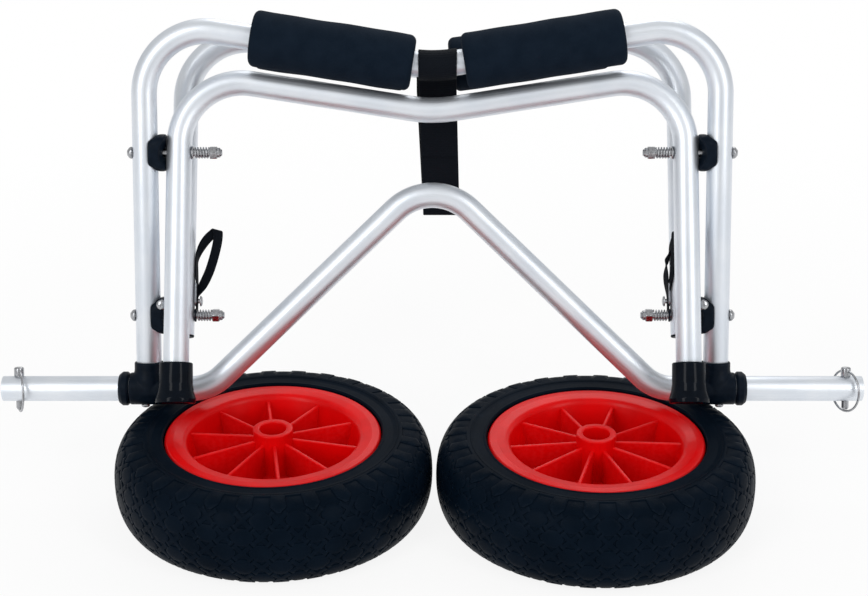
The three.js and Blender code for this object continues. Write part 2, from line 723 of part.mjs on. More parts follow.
// Tyre section from the middle of the tread to its flat side, with the distance along it
function tyreSection() {
  const power = 2 / tyre.roundness;
  const stations = [];
  for (let step = 0; step <= tyre.steps; step += 1) {
    const angle = (Math.PI * step) / tyre.steps / 2;
    const radius = tyre.radius - tyre.depth * (1 - Math.cos(angle) ** power);
    const height = (tyre.width / 2) * Math.sin(angle) ** power;
    const last = stations.at(-1);
    const distance = last ? last.distance + Math.hypot(radius - last.radius, height - last.height) : 0;
    stations.push({ radius, height, distance });
  }
  const { radius, height, distance } = stations.at(-1);
  const flat = radius - tyre.lip;
  stations.push({ radius: tyre.lip, height, distance: distance + flat });
  return stations;
}
const section = tyreSection();

// Point of the section at a distance, above or below its middle, sunk by a depth
function sectionPoint(distance, depth = 0) {
  const reach = Math.abs(distance);
  const found = section.findIndex((station) => station.distance > reach);
  const [from, to] = [section[found - 1], section[found]];
  const run = to.distance - from.distance;
  const [alongR, alongZ] = [(to.radius - from.radius) / run, (to.height - from.height) / run];
  const beyond = reach - to.distance;
  const radius = to.radius + alongR * beyond - alongZ * depth;
  const height = to.height + alongZ * beyond + alongR * depth;
  return [radius, tyre.width / 2 + Math.sign(distance) * height];
}

// Tyre with its main tread, made ring by ring from the lower bead over the crown to the upper bead
function treadedTyre() {
  const columns = 2 * tread.pitches;
  const half = tyre.width / 2;
  const places = [];
  const index = [];
  const addPoint = (column, [radius, height]) => {
    const angle = (2 * Math.PI * column) / columns;
    return places.push(radius * Math.cos(angle), radius * Math.sin(angle), height) / 3 - 1;
  };
  const addRing = (step, point) => {
    const ring = [];
    for (let column = 0; column < columns; column += step) ring.push(addPoint(column - 0.5, point));
    return (place) => ring[place % ring.length];
  };
  const addFace = (...corners) => {
    for (let i = 2; i < corners.length; i += 1) index.push(corners[0], corners[i - 1], corners[i]);
  };
  const addStrip = (lower, upper, place) => {
    addFace(lower(place), lower(place + 1), upper(place + 1), upper(place));
  };

  // Crown: pads and hollows turn about
  const edge = (tread.rows * tread.cell) / 2;
  const crown = [];
  for (let row = 0; row <= tread.rows; row += 1) crown.push(addRing(1, sectionPoint(row * tread.cell - edge)));
  for (let row = 0; row < tread.rows; row += 1) {
    const [lower, upper] = [crown[row], crown[row + 1]];
    for (let column = 0; column < columns; column += 1) {
      if ((row + column) % 2 === 0) {
        addStrip(lower, upper, column);
      } else {
        const corners = [lower(column), lower(column + 1), upper(column + 1), upper(column)];
        const middle = addPoint(column, sectionPoint((row + 0.5) * tread.cell - edge, tread.hollow));
        corners.forEach((corner, i) => addFace(corner, corners[(i + 1) % 4], middle));
      }
    }
  }

  // Shoulders: a lug over each hollow of the outer row, and a recess over each pad
  const shoulder = (side) => {
    const inner = side > 0 ? crown.at(-1) : crown[0];
    const middle = addRing(1, sectionPoint(side * tread.lugMiddle));
    const outer = addRing(1, sectionPoint(side * tread.lugEnd));
    const floor = [tread.recessFrom, tread.lugMiddle, tread.recessTo]
      .map((distance) => addRing(1, sectionPoint(side * distance, tread.recess)));
    const lug = side > 0 ? [inner, middle, outer] : [outer, middle, inner];
    const recess = side > 0 ? [inner, ...floor, outer] : [outer, ...floor.reverse(), inner];
    for (let column = 0; column < columns; column += 1) {
      const rings = column % 2 ? lug : recess;
      for (let i = 1; i < rings.length; i += 1) addStrip(rings[i - 1], rings[i], column);
      const next = column + 1;
      for (let i = 1; i < recess.length && column % 2 === 0; i += 1) {
        addFace(recess[i - 1](column), recess[i](column), middle(column));
        addFace(recess[i](next), recess[i - 1](next), middle(next));
      }
    }
    return outer;
  };
  const lowerEdge = shoulder(-1);
  const upperEdge = shoulder(1);

  // Sidewalls and bead, in one step for each pitch
  const bead = [
    [tyre.lip, tyre.width - 0.4],
    [tyre.flangeSeat, half + tyre.flangeHalf],
    [tyre.seat, half + tyre.seatHalf],
    [tyre.seat, half - tyre.seatHalf],
    [tyre.flangeSeat, half - tyre.flangeHalf],
    [tyre.lip, 0],
  ].map((point) => addRing(2, point));
  for (let pitch = 0; pitch < tread.pitches; pitch += 1) {
    const column = 2 * pitch;
    const [top, bottom] = [bead[0], bead.at(-1)];
    addFace(upperEdge(column), upperEdge(column + 1), top(pitch));
    addFace(upperEdge(column + 1), upperEdge(column + 2), top(pitch + 1), top(pitch));
    for (let i = 1; i < bead.length; i += 1) addStrip(bead[i - 1], bead[i], pitch);
    addFace(bottom(pitch), bottom(pitch + 1), lowerEdge(column + 1), lowerEdge(column));
    addFace(bottom(pitch + 1), lowerEdge(column + 2), lowerEdge(column + 1));
  }
  const geometry = new THREE.BufferGeometry();
  geometry.setAttribute("position", new THREE.Float32BufferAttribute(places, 3));
  geometry.setIndex(index);
  return geometry;
}

// Rim: a bead seat with flanges, a dished web on each face, a hub and thin ribs
function wheelRim(phase) {
  const half = tyre.width / 2;
  const upper = rimSection.map(([radius, height]) => [radius, half + height]);
  const lower = rimSection.map(([radius, height]) => [radius, half - height]).reverse();
  const ribs = [];
  for (let i = 0; i < rib.count; i += 1) {
    const plate = new THREE.BoxGeometry(rib.outer - rib.inner, rib.thickness, rib.to - rib.from);
    plate.translate((rib.inner + rib.outer) / 2, 0, (rib.from + rib.to) / 2);
    plate.rotateZ(radians(phase + (360 * i) / rib.count));
    ribs.push(plate);
  }
  const barrel = bar(hub.radius, hub.from, hub.to, hub.sides);
  const bore = bar(hub.bore, hub.from - 1, hub.to + 1, hub.sides);
  return shaped([turned([...upper, ...lower, upper[0]], rimSides), barrel, ...ribs], [bore]);
}

for (const [name, { x, y, ribPhase }] of Object.entries(wheels)) {
  const wheel = new THREE.Group();
  wheel.position.set(x, y, 0);
  cart.add(wheel);
  addPiece(wheel, `${name}_tyre`, treadedTyre(), "tyre");
  addPiece(wheel, `${name}_rim`, wheelRim(ribPhase), "rim");
}

// Origin: the middle of the footprint, on the floor
cart.updateMatrixWorld(true);
const extent = new THREE.Box3().setFromObject(cart, true);
cart.position.set(-(extent.min.x + extent.max.x) / 2, -(extent.min.y + extent.max.y) / 2, -extent.min.z);

export default cart;
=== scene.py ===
import json
import math

import bmesh
import bpy
import numpy as np
from mathutils import Matrix, Vector
from mathutils.geometry import delaunay_2d_cdt


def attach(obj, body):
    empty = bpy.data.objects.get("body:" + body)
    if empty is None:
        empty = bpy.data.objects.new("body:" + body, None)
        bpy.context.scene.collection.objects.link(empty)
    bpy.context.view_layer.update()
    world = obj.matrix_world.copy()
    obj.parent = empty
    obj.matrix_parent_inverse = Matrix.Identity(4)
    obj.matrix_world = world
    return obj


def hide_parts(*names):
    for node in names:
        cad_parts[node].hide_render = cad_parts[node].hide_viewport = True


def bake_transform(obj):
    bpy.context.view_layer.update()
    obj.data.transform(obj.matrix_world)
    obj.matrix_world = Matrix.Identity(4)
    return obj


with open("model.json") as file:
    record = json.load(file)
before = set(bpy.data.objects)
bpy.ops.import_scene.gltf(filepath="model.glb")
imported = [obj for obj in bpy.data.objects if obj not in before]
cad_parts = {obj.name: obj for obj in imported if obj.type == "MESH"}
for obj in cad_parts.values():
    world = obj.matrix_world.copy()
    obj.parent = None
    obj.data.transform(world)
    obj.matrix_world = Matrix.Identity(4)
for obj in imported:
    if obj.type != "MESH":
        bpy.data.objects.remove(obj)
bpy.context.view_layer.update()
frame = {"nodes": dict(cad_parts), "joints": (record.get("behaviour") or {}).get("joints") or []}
print("frame loaded,", len(frame["nodes"]), "solids")

def linkObject(name, data):
    made = bpy.data.objects.new(name, data)
    bpy.context.scene.collection.objects.link(made)
    return made


def shift(x=0.0, y=0.0, z=0.0):
    return Matrix.Translation((x, y, z))


def turnAngles(count):
    return np.arange(count) * 2 * math.pi / count


def unitRows(rows):
    return rows / np.linalg.norm(rows, axis=1)[:, None]


def runLengths(points):
    return np.concatenate([[0], np.cumsum(np.linalg.norm(np.diff(points, axis=0), axis=1))])


# Camera, fitted to the photo's view of the wheels, the axle and the pivots; the image is 868 wide
cameraView = {
    "place": (1.3, -1398.57, 797.6),  # millimetres
    "pitch": 23.95,  # degrees below the horizon
    "focalPixels": 1855.5,
    "imageWidth": 868,
    "sensorWidth": 36,
}


def makeCamera(view):
    data = bpy.data.cameras.new("studioCamera")
    data.sensor_width = view["sensorWidth"]
    data.lens = view["focalPixels"] / view["imageWidth"] * view["sensorWidth"]
    camera = linkObject("studioCamera", data)
    camera.location = Vector(view["place"]) * 0.001
    camera.rotation_euler = (math.radians(90 - view["pitch"]), 0, 0)
    bpy.context.scene.camera = camera


makeCamera(cameraView)
bpy.context.scene.view_settings.view_transform = "Standard"
print("camera set")


# Meshes are built in millimetres in a piece's own frame. "lay" is each point's place on the
# straightened piece, which the materials use instead of a wrapped pattern.
def makeShape(points, faces, lay=None):
    points = np.asarray(points, float)
    return {"points": points, "faces": faces, "lay": points.copy() if lay is None else np.asarray(lay, float)}


def joinShapes(shapes):
    faces, offset = [], 0
    for one in shapes:
        faces += [tuple(corner + offset for corner in face) for face in one["faces"]]
        offset += len(one["points"])
    points = np.concatenate([one["points"] for one in shapes])
    return makeShape(points, faces, np.concatenate([one["lay"] for one in shapes]))


def moveShape(one, matrix):
    grid = np.array(matrix, float)
    points = one["points"] @ grid[:3, :3].T + grid[:3, 3]
    faces = one["faces"] if np.linalg.det(grid[:3, :3]) > 0 else [face[::-1] for face in one["faces"]]
    return makeShape(points, faces, one["lay"])


def mirrorShape(one, sign):
    return moveShape(one, Matrix.Diagonal((sign, 1, 1, 1)))


def skinRings(rings, loop=False, caps=False, lay=None):
    rings = np.asarray(rings, float)
    count, around = rings.shape[:2]
    faces = []
    for i in range(count if loop else count - 1):
        first, second = i * around, (i + 1) % count * around
        for k in range(around):
            m = (k + 1) % around
            faces.append((first + k, first + m, second + m, second + k))
    if caps:
        faces.append(tuple(range(around))[::-1])
        faces.append(tuple((count - 1) * around + k for k in range(around)))
    points = rings.reshape(-1, 3)
    return makeShape(points, faces, None if lay is None else np.asarray(lay, float).reshape(-1, 3))


# Turned about Z: rows of (radius, height), or (radius, height, flat) for a hexagon across flats
def turnShape(rows, sides):
    loop = tuple(rows[0]) == tuple(rows[-1])
    angles = turnAngles(sides)
    points, starts = [], []
    for row in rows[:-1] if loop else rows:
        radius, height = row[:2]
        starts.append((len(points), radius > 1e-9))
        if radius <= 1e-9:
            points.append((0, 0, height))
            continue
        for angle in angles:
            reach = radius
            if len(row) > 2:
                reach = min(radius, row[2] / math.cos((angle + math.pi / 6) % (math.pi / 3) - math.pi / 6))
            points.append((reach * math.cos(angle), reach * math.sin(angle), height))
    faces = []
    for (first, firstRing), (second, secondRing) in zip(starts, starts[1:] + (starts[:1] if loop else [])):
        for k in range(sides):
            m = (k + 1) % sides
            corners = [first + (k if firstRing else 0), first + (m if firstRing else 0)]
            corners += [second + (m if secondRing else 0), second + (k if secondRing else 0)]
            face = tuple(dict.fromkeys(corners))
            if len(face) > 2:
                faces.append(face)
    return makeShape(points, faces)


def coneShape(firstRadius, start, lastRadius, end, sides):
    return turnShape([(0, start), (firstRadius, start), (lastRadius, end), (0, end)], sides)


# Rows of a dome from its crown down to its edge
def domeRows(radius, foot, rise, share, steps):
    angles = [math.pi / 2 * (share + (1 - share) * step / steps) for step in range(1, steps + 1)]
    return [(radius * math.sin(angle), foot + rise * math.cos(angle)) for angle in angles]


# Rounds the corners (a, b, fillet) of an outline, each with an arc of a few steps
def roundCorners(corners, closed=False, steps=4):
    result = []
    count = len(corners)
    for i, (a, b, fillet) in enumerate(corners):
        here = np.array((a, b), float)
        if fillet <= 0 or (not closed and i in (0, count - 1)):
            result.append((float(a), float(b)))
            continue
        before = np.array(corners[i - 1][:2], float) - here
        after = np.array(corners[(i + 1) % count][:2], float) - here
        beforeLength, afterLength = np.linalg.norm(before), np.linalg.norm(after)
        before, after = before / beforeLength, after / afterLength
        half = math.acos(np.clip(before @ after, -1, 1)) / 2
        cut = min(fillet / math.tan(half), beforeLength * 0.49, afterLength * 0.49)
        radius = cut * math.tan(half)
        middle = here + (before + after) / np.linalg.norm(before + after) * radius / math.sin(half)
        start, end = here + before * cut - middle, here + after * cut - middle
        turn = math.atan2(start[0] * end[1] - start[1] * end[0], start @ end)
        for step in range(steps + 1):
            angle = turn * step / steps
            point = middle + (
                start[0] * math.cos(angle) - start[1] * math.sin(angle),
                start[0] * math.sin(angle) + start[1] * math.cos(angle),
            )
            result.append((float(point[0]), float(point[1])))
    return result


def turnRounded(corners, sides, closed=True, steps=4):
    rows = roundCorners(corners, closed, steps)
    return turnShape(rows + rows[:1] if closed else rows, sides)


# Plate cut to an outline of (x, y), with eased edges, standing on Z = 0
def plateShape(outline, thickness, ease):
    outline = np.array(outline, float)
    following = unitRows(np.roll(outline, -1, 0) - outline)
    before = np.roll(following, 1, 0)
    area = np.sum(outline[:, 0] * np.roll(outline[:, 1], -1) - outline[:, 1] * np.roll(outline[:, 0], -1))
    inward = np.stack([-following[:, 1] - before[:, 1], following[:, 0] + before[:, 0]], 1)
    inward = unitRows(inward * np.sign(area))
    rings = []
    for height, inset in ((0, ease), (ease, 0), (thickness - ease, 0), (thickness, ease)):
        flat = outline + inward * inset
        rings.append(np.column_stack([flat, np.full(len(flat), height)]))
    return skinRings(rings, caps=True)


# Straight runs between corners joined by arcs: a list of (point, tangent, distance)
def bentRoute(corners, radii, stepDegrees=3.0):
    corners = [np.array(corner, float) for corner in corners]
    unit = lambda vector: vector / np.linalg.norm(vector)
    stations = [(corners[0], unit(corners[1] - corners[0]))]
    for i, radius in enumerate(radii):
        corner = corners[i + 1]
        into, out = unit(corner - corners[i]), unit(corners[i + 2] - corner)
        turn = math.acos(np.clip(into @ out, -1, 1))
        start = corner - into * radius * math.tan(turn / 2)
        inward = unit(out - into * (into @ out))
        steps = max(2, round(math.degrees(turn) / stepDegrees))
        for step in range(steps + 1):
            angle = turn * step / steps
            point = start + into * radius * math.sin(angle) + inward * radius * (1 - math.cos(angle))
            stations.append((point, into * math.cos(angle) + inward * math.sin(angle)))
    stations.append((corners[-1], unit(corners[-1] - corners[-2])))
    route, distance = [], 0
    for i, (point, tangent) in enumerate(stations):
        distance += np.linalg.norm(point - stations[i - 1][0]) if i else 0
        route.append((point, tangent, distance))
    return route


# Tube along a route in a plane square to "side", with its bore and rounded lips at both ends
def tubeShape(route, side, outer, bore, sides=48, lip=0.5):
    side = np.array(side, float)
    angles = turnAngles(sides)
    rings, lay = [], []

    def addRing(station, radius, slide=0.0):
        point, tangent, distance = station
        normal = np.cross(side, tangent)
        circle = np.outer(np.cos(angles), normal) + np.outer(np.sin(angles), side)
        rings.append(point + tangent * slide + circle * radius)
        lay.append(np.column_stack([
            radius * np.cos(angles), radius * np.sin(angles), np.full(sides, distance + slide),
        ]))

    wall = [(lip, 0.0), (lip * 0.3, lip * 0.3), (0.0, lip)]  # (back from the end, in from the face)
    for back, inset in wall[::-1]:
        addRing(route[0], outer - inset, back)
    for inner in route[1:-1]:
        addRing(inner, outer)
    for back, inset in wall:
        addRing(route[-1], outer - inset, -back)
    for back, inset in wall[::-1]:
        addRing(route[-1], bore + inset, -back)
    for inner in route[-2:0:-1]:
        addRing(inner, bore)
    for back, inset in wall:
        addRing(route[0], bore + inset, back)
    return skinRings(rings, loop=True, lay=lay)


# Joins and cuts closed shapes, then softens every edge as a mould does
def mouldShape(added, removed, voxel, softening):
    made = []
    for one in added + removed:
        mesh = bpy.data.meshes.new("mould")
        mesh.from_pydata(one["points"].tolist(), [], one["faces"])
        work = bmesh.new()
        work.from_mesh(mesh)
        bmesh.ops.recalc_face_normals(work, faces=work.faces)
        work.to_mesh(mesh)
        work.free()
        made.append(linkObject("mould", mesh))
    for i, part in enumerate(made[1:], 1):
        cut = made[0].modifiers.new("cut", "BOOLEAN")
        cut.operation = "UNION" if i < len(added) else "DIFFERENCE"
        cut.solver = "EXACT"
        cut.object = part
    remesh = made[0].modifiers.new("voxels", "REMESH")
    remesh.mode = "VOXEL"
    remesh.voxel_size = voxel
    smooth = made[0].modifiers.new("soften", "SMOOTH")
    smooth.factor = 0.5
    smooth.iterations = softening
    finished = made[0].evaluated_get(bpy.context.evaluated_depsgraph_get()).to_mesh()
    result = makeShape([v.co[:] for v in finished.vertices], [tuple(f.vertices) for f in finished.polygons])
    for part in made:
        bpy.data.objects.remove(part)
    return result


def placePiece(name, one, place, body, finish, replaced, sharpDegrees=35, weld=0.0):
    scaled = Matrix.Scale(0.001, 4) @ place
    one = moveShape(one, scaled)
    mesh = bpy.data.meshes.new(name)
    mesh.from_pydata(one["points"].tolist(), [], one["faces"])
    lay = mesh.attributes.new("lay", "FLOAT_VECTOR", "POINT")
    lay.data.foreach_set("vector", one["lay"].astype(np.float32).ravel())
    work = bmesh.new()
    work.from_mesh(mesh)
    if weld:
        bmesh.ops.remove_doubles(work, verts=work.verts, dist=weld)
    bmesh.ops.recalc_face_normals(work, faces=work.faces)
    work.to_mesh(mesh)
    work.free()
    mesh.shade_smooth()
    mesh.set_sharp_from_angle(angle=math.radians(sharpDegrees))
    material, slot = finish
    mesh.materials.append(material)
    piece = linkObject(name, mesh)
    if body:
        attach(piece, body)
    if replaced:
        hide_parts(*replaced)
    return piece


def addNode(tree, kind, inputs=None, **settings):
    made = tree.nodes.new(kind)
    for key, value in settings.items():
        setattr(made, key, value)
    for key, value in (inputs or {}).items():
        if isinstance(value, bpy.types.NodeSocket):
            tree.links.new(value, made.inputs[key])
        else:
            made.inputs[key].default_value = value
    return made


def math2(tree, operation, first, second, clamp=False):
    made = addNode(tree, "ShaderNodeMath", {0: first, 1: second}, operation=operation, use_clamp=clamp)
    return made.outputs[0]


def addNoise(tree, vector, scale, detail, roughness=0.5):
    return addNode(tree, "ShaderNodeTexNoise", {
        "Vector": vector, "Scale": scale, "Detail": detail, "Roughness": roughness,
    }).outputs["Fac"]


def mapRange(tree, value, start, end, low=0.0, high=1.0, kind="LINEAR"):
    return addNode(tree, "ShaderNodeMapRange", {
        "Value": value, "From Min": start, "From Max": end, "To Min": low, "To Max": high,
    }, interpolation_type=kind).outputs["Result"]


def mixColours(tree, mask, first, second):
    return addNode(tree, "ShaderNodeMix", {0: mask, 6: first, 7: second}, data_type="RGBA").outputs[2]


# Each effect below is one node group, called with the piece's "lay" and a few values. "made" gets its
# name, its further inputs and its outputs, and returns what each output carries.
def makeGroup(name, inputs, outputs, made):
    tree = bpy.data.node_groups.new(name, "ShaderNodeTree")
    tree.interface.new_socket(name="Vector", in_out="INPUT", socket_type="NodeSocketVector")
    for label, value in inputs.items():
        kind = "NodeSocketColor" if isinstance(value, tuple) else "NodeSocketFloat"
        tree.interface.new_socket(name=label, in_out="INPUT", socket_type=kind).default_value = value
    for label in outputs:
        kind = "NodeSocketColor" if label == "Color" else "NodeSocketFloat"
        tree.interface.new_socket(name=label, in_out="OUTPUT", socket_type=kind)
    takes, gives = tree.nodes.new("NodeGroupInput").outputs, tree.nodes.new("NodeGroupOutput").inputs
    for label, socket in zip(outputs, made(tree, takes)):
        tree.links.new(socket, gives[label])
    return tree


# Fine grain of a moulded or cellular surface
def fineGrain(tree, takes):
    cells = addNode(tree, "ShaderNodeTexVoronoi", {"Vector": takes["Vector"], "Scale": takes["Scale"]})
    noise = addNoise(tree, takes["Vector"], takes["Scale"], 5.0, 0.65)
    pits = math2(tree, "MULTIPLY", cells.outputs["Distance"], takes["Pits"])
    return math2(tree, "ADD", noise, pits), math2(tree, "MULTIPLY", noise, 1.6, clamp=True)


# Slow drift between two colours, as dye, anodising or handling leave it
def colourDrift(tree, takes):
    noise = addNoise(tree, takes["Vector"], takes["Scale"], 3.0, 0.55)
    spread = mapRange(tree, noise, 0.3, 0.7, kind="SMOOTHSTEP")
    return mixColours(tree, spread, takes["First"], takes["Second"]), spread


# Rubbed edges: where the surface turns out sharply, broken up by noise
def edgeWear(tree, takes):
    geometry = addNode(tree, "ShaderNodeNewGeometry")
    over = math2(tree, "SUBTRACT", geometry.outputs["Pointiness"], math2(tree, "ADD", takes["Reach"], 0.5))
    edge = math2(tree, "MULTIPLY", over, 12.0, clamp=True)
    broken = mapRange(tree, addNoise(tree, takes["Vector"], takes["Scale"], 4.0), 0.4, 0.62)
    return [math2(tree, "MULTIPLY", edge, broken, clamp=True)]


# Lines drawn along a piece, as a die or a brush leaves them: noise stretched along its length
def drawnLines(tree, takes):
    shrink = addNode(tree, "ShaderNodeCombineXYZ", {0: 1.0, 1: 1.0, 2: takes["Stretch"]}).outputs[0]
    long = addNode(tree, "ShaderNodeVectorMath", {0: takes["Vector"], 1: shrink}, operation="MULTIPLY")
    noise = addNoise(tree, long.outputs[0], takes["Scale"], 1.0, 0.4)
    return noise, mapRange(tree, noise, 0.35, 0.65)


# Yarns of webbing: across (x) and along (z) the band, each over and under the other
def webbingWeave(tree, takes):
    axes = addNode(tree, "ShaderNodeSeparateXYZ", {0: takes["Vector"]}).outputs
    across = math2(tree, "DIVIDE", axes["X"], takes["Yarn"])
    along = math2(tree, "DIVIDE", axes["Z"], takes["Pick"])
    slanted = math2(tree, "ADD", along, math2(tree, "MULTIPLY", across, 0.5))
    waves = [math2(tree, "MULTIPLY", run, 2 * math.pi) for run in (across, slanted)]
    warp, weft = [math2(tree, "SINE", wave, 0.0) for wave in waves]
    woven = math2(tree, "MULTIPLY", math2(tree, "ABSOLUTE", warp, 0.0), weft)
    return woven, math2(tree, "MULTIPLY_ADD", woven, 0.5, clamp=True)


# Lighter where a surface faces up, in noisy patches: a painted highlight on the tops of the foam pads, and a
# faint lightening of the tyres' upward faces
def dustAndTopLightMask(tree, takes):
    normal = addNode(tree, "ShaderNodeNewGeometry").outputs["Normal"]
    facing = addNode(tree, "ShaderNodeSeparateXYZ", {0: normal}).outputs["Z"]
    # Upward faces get the most: this is painted top light, not a lamp
    up = math2(tree, "POWER", math2(tree, "MAXIMUM", facing, 0.0), 3.0)
    noise = addNoise(tree, takes["Vector"], takes["Scale"], 6.0, 0.7)
    patch = math2(tree, "MULTIPLY", noise, takes["Amount"])
    return [math2(tree, "MULTIPLY", up, patch, clamp=True)]


white = (1, 1, 1, 1)
heightMask = ("Height", "Mask")
groups = {
    "grain": makeGroup("Fine grain", {"Scale": 1.0, "Pits": 0.5}, heightMask, fineGrain),
    "drift": makeGroup("Colour drift", {"Scale": 0.05, "First": white, "Second": (0, 0, 0, 1)},
                       ("Color", "Mask"), colourDrift),
    "wear": makeGroup("Edge wear", {"Scale": 0.4, "Reach": 0.06}, ("Mask",), edgeWear),
    "streaks": makeGroup("Drawn lines", {"Scale": 1.2, "Stretch": 0.02}, heightMask, drawnLines),
    "weave": makeGroup("Webbing weave", {"Yarn": 1.1, "Pick": 2.3}, heightMask, webbingWeave),
    "dustAndTopLight": makeGroup("Dust and painted top light", {"Scale": 0.08, "Amount": 0.3}, ("Mask",), dustAndTopLightMask),
}

# What each material is made of, and its slot: "effects" are the groups and their inputs, "over" the
# colours laid on the drifting two, each by a group's mask and a share of it, "rough" the roughness
# at a mask's two ends, "bump" a group's height with its strength and distance, "shader" the
# Principled's own values
looks = {
    # Satin anodised tube: faint drawn lines, slight drift of tone, duller smudges
    "satinAluminium": {
        "slot": "aluminium_tube",
        "first": (0.81, 0.845, 0.89, 1), "second": (0.74, 0.785, 0.845, 1),
        "effects": {"drift": {"Scale": 0.03}, "streaks": {"Scale": 0.9, "Stretch": 0.01}},
        "over": [("streaks", 0.25, (0.74, 0.785, 0.845, 1))],
        "rough": ("streaks", 0.4, 0.5), "bump": ("streaks", 0.02, 0.0002), "shader": {"Metallic": 0.88},
    },
    # Bright zinc plating on the bolts, springs, pins and rings
    "zincPlate": {
        "slot": "zinc_steel",
        "first": (0.46, 0.47, 0.49, 1), "second": (0.33, 0.335, 0.35, 1),
        "effects": {"drift": {"Scale": 0.5}, "grain": {"Scale": 3.0, "Pits": 0.2}}, "over": [],
        "rough": ("grain", 0.12, 0.28), "bump": ("grain", 0.04, 0.0001), "shader": {"Metallic": 1.0},
    },
    # Black glass-filled nylon of the tees, collars, saddles and plugs, lighter along its edges
    "mouldedNylon": {
        "slot": "black_fitting",
        "first": (0.002, 0.0055, 0.0115, 1), "second": (0.004, 0.0085, 0.0165, 1),
        "effects": {
            "drift": {"Scale": 0.2}, "wear": {"Scale": 0.6, "Reach": 0.03},
            "grain": {"Scale": 1.6, "Pits": 0.6},
        },
        "over": [("wear", 1, (0.022, 0.03, 0.042, 1))],
        "rough": ("grain", 0.26, 0.44), "bump": ("grain", 0.18, 0.0003),
        "shader": {"Specular IOR Level": 0.07},
    },
    # Glossy rubber of the kickstand's feet
    "glossyRubber": {
        "slot": "glossy_rubber",
        "first": (0.0012, 0.003, 0.0065, 1), "second": (0.002, 0.0045, 0.009, 1),
        "effects": {"drift": {"Scale": 0.15}, "grain": {"Scale": 0.7, "Pits": 0.2}}, "over": [],
        "rough": ("grain", 0.14, 0.28), "bump": ("grain", 0.03, 0.0003),
        "shader": {"Specular IOR Level": 0.02, "Coat Weight": 0.14, "Coat Roughness": 0.03},
    },
    # Closed-cell foam: navy black, matt, with a skin of fine cells, a soft sheen, and a painted highlight on
    # the tops of the pads
    "foamSleeve": {
        "slot": "foam",
        "first": (0.0035, 0.0085, 0.017, 1), "second": (0.0055, 0.0115, 0.0215, 1),
        "effects": {
            "drift": {"Scale": 0.06}, "grain": {"Scale": 1.1, "Pits": 1.0},
            "dustAndTopLight": {"Scale": 0.3, "Amount": 0.12},
        },
        # The lighter colour laid where the pads face up is a painted highlight on their tops
        "over": [("dustAndTopLight", 1, (0.03, 0.042, 0.058, 1))],
        "rough": ("grain", 0.6, 0.9), "bump": ("grain", 0.35, 0.0004),
        "shader": {
            "Specular IOR Level": 0.06, "Sheen Weight": 0.02, "Sheen Roughness": 0.5,
            "Sheen Tint": (0.55, 0.68, 0.9, 1),
        },
    },
    # Black polyester webbing
    "webbing": {
        "slot": "webbing",
        "first": (0.0018, 0.003, 0.0055, 1), "second": None,
        "effects": {"weave": {"Yarn": 1.6, "Pick": 1.15}, "grain": {"Scale": 4.0, "Pits": 0.3}},
        "over": [("weave", 1, (0.006, 0.0085, 0.0135, 1))],
        "rough": ("grain", 0.45, 0.75), "bump": ("weave", 0.5, 0.0003),
        "shader": {"Specular IOR Level": 0.08, "Sheen Weight": 0.02, "Sheen Roughness": 0.4},
    },
    # Tyre rubber: blue-black, rubbed lighter on the edges of the tread
    "tyreRubber": {
        "slot": "tyre_rubber",
        "first": (0.0015, 0.0045, 0.0095, 1), "second": (0.0028, 0.0068, 0.0135, 1),
        "effects": {
            "drift": {"Scale": 0.03}, "wear": {"Scale": 0.5, "Reach": 0.03},
            "grain": {"Scale": 1.4, "Pits": 0.4}, "dustAndTopLight": {"Scale": 0.1, "Amount": 0.04},
        },
        # The second colour laid makes the rubber's upward faces a little lighter
        "over": [("wear", 1, (0.007, 0.0125, 0.021, 1)), ("dustAndTopLight", 1, (0.016, 0.022, 0.03, 1))],
        "rough": ("grain", 0.28, 0.46), "bump": ("grain", 0.12, 0.0003),
        "shader": {"Specular IOR Level": 0.022},
    },
    # Red moulded rim: glossy, with faint flow marks and lighter edges
    "redPlastic": {
        "slot": "red_rim",
        "first": (0.76, 0.0012, 0.002, 1), "second": (0.66, 0.0008, 0.0015, 1),
        "effects": {
            "drift": {"Scale": 0.04}, "wear": {"Scale": 0.3, "Reach": 0.04},
            "grain": {"Scale": 0.8, "Pits": 0.2},
        },
        "over": [("wear", 0.6, (0.88, 0.04, 0.045, 1))],
        "rough": ("grain", 0.2, 0.34), "bump": ("grain", 0.03, 0.0003),
        "shader": {"Specular IOR Level": 0.15},
    },
}


def makeMaterial(name):
    look = looks[name]
    material = bpy.data.materials.new(name)
    material.use_nodes = True
    tree = material.node_tree
    shader = tree.nodes["Principled BSDF"].inputs
    lay = addNode(tree, "ShaderNodeAttribute", attribute_name="lay").outputs["Vector"]
    used = {}
    for kind, inputs in look["effects"].items():
        if kind == "drift":
            inputs = {**inputs, "First": look["first"], "Second": look["second"]}
        group = addNode(tree, "ShaderNodeGroup", {"Vector": lay, **inputs}, node_tree=groups[kind])
        used[kind] = group.outputs
    colour = used["drift"]["Color"] if "drift" in used else look["first"]
    for kind, share, laid in look["over"]:
        mask = used[kind]["Mask"]
        colour = mixColours(tree, math2(tree, "MULTIPLY", mask, share) if share < 1 else mask, colour, laid)
    tree.links.new(colour, shader["Base Color"])
    kind, smooth, rough = look["rough"]
    tree.links.new(mapRange(tree, used[kind]["Mask"], 0.0, 1.0, smooth, rough), shader["Roughness"])
    kind, strength, distance = look["bump"]
    bump = addNode(tree, "ShaderNodeBump", {
        "Height": used[kind]["Height"], "Strength": strength, "Distance": distance,
    })
    tree.links.new(bump.outputs["Normal"], shader["Normal"])
    for label, value in look["shader"].items():
        shader[label].default_value = value
    return material, look["slot"]


aluminium, zinc, fitting, footRubber, foam, webbing, tyreRubber, rimPlastic = map(makeMaterial, looks)
print("materials made")

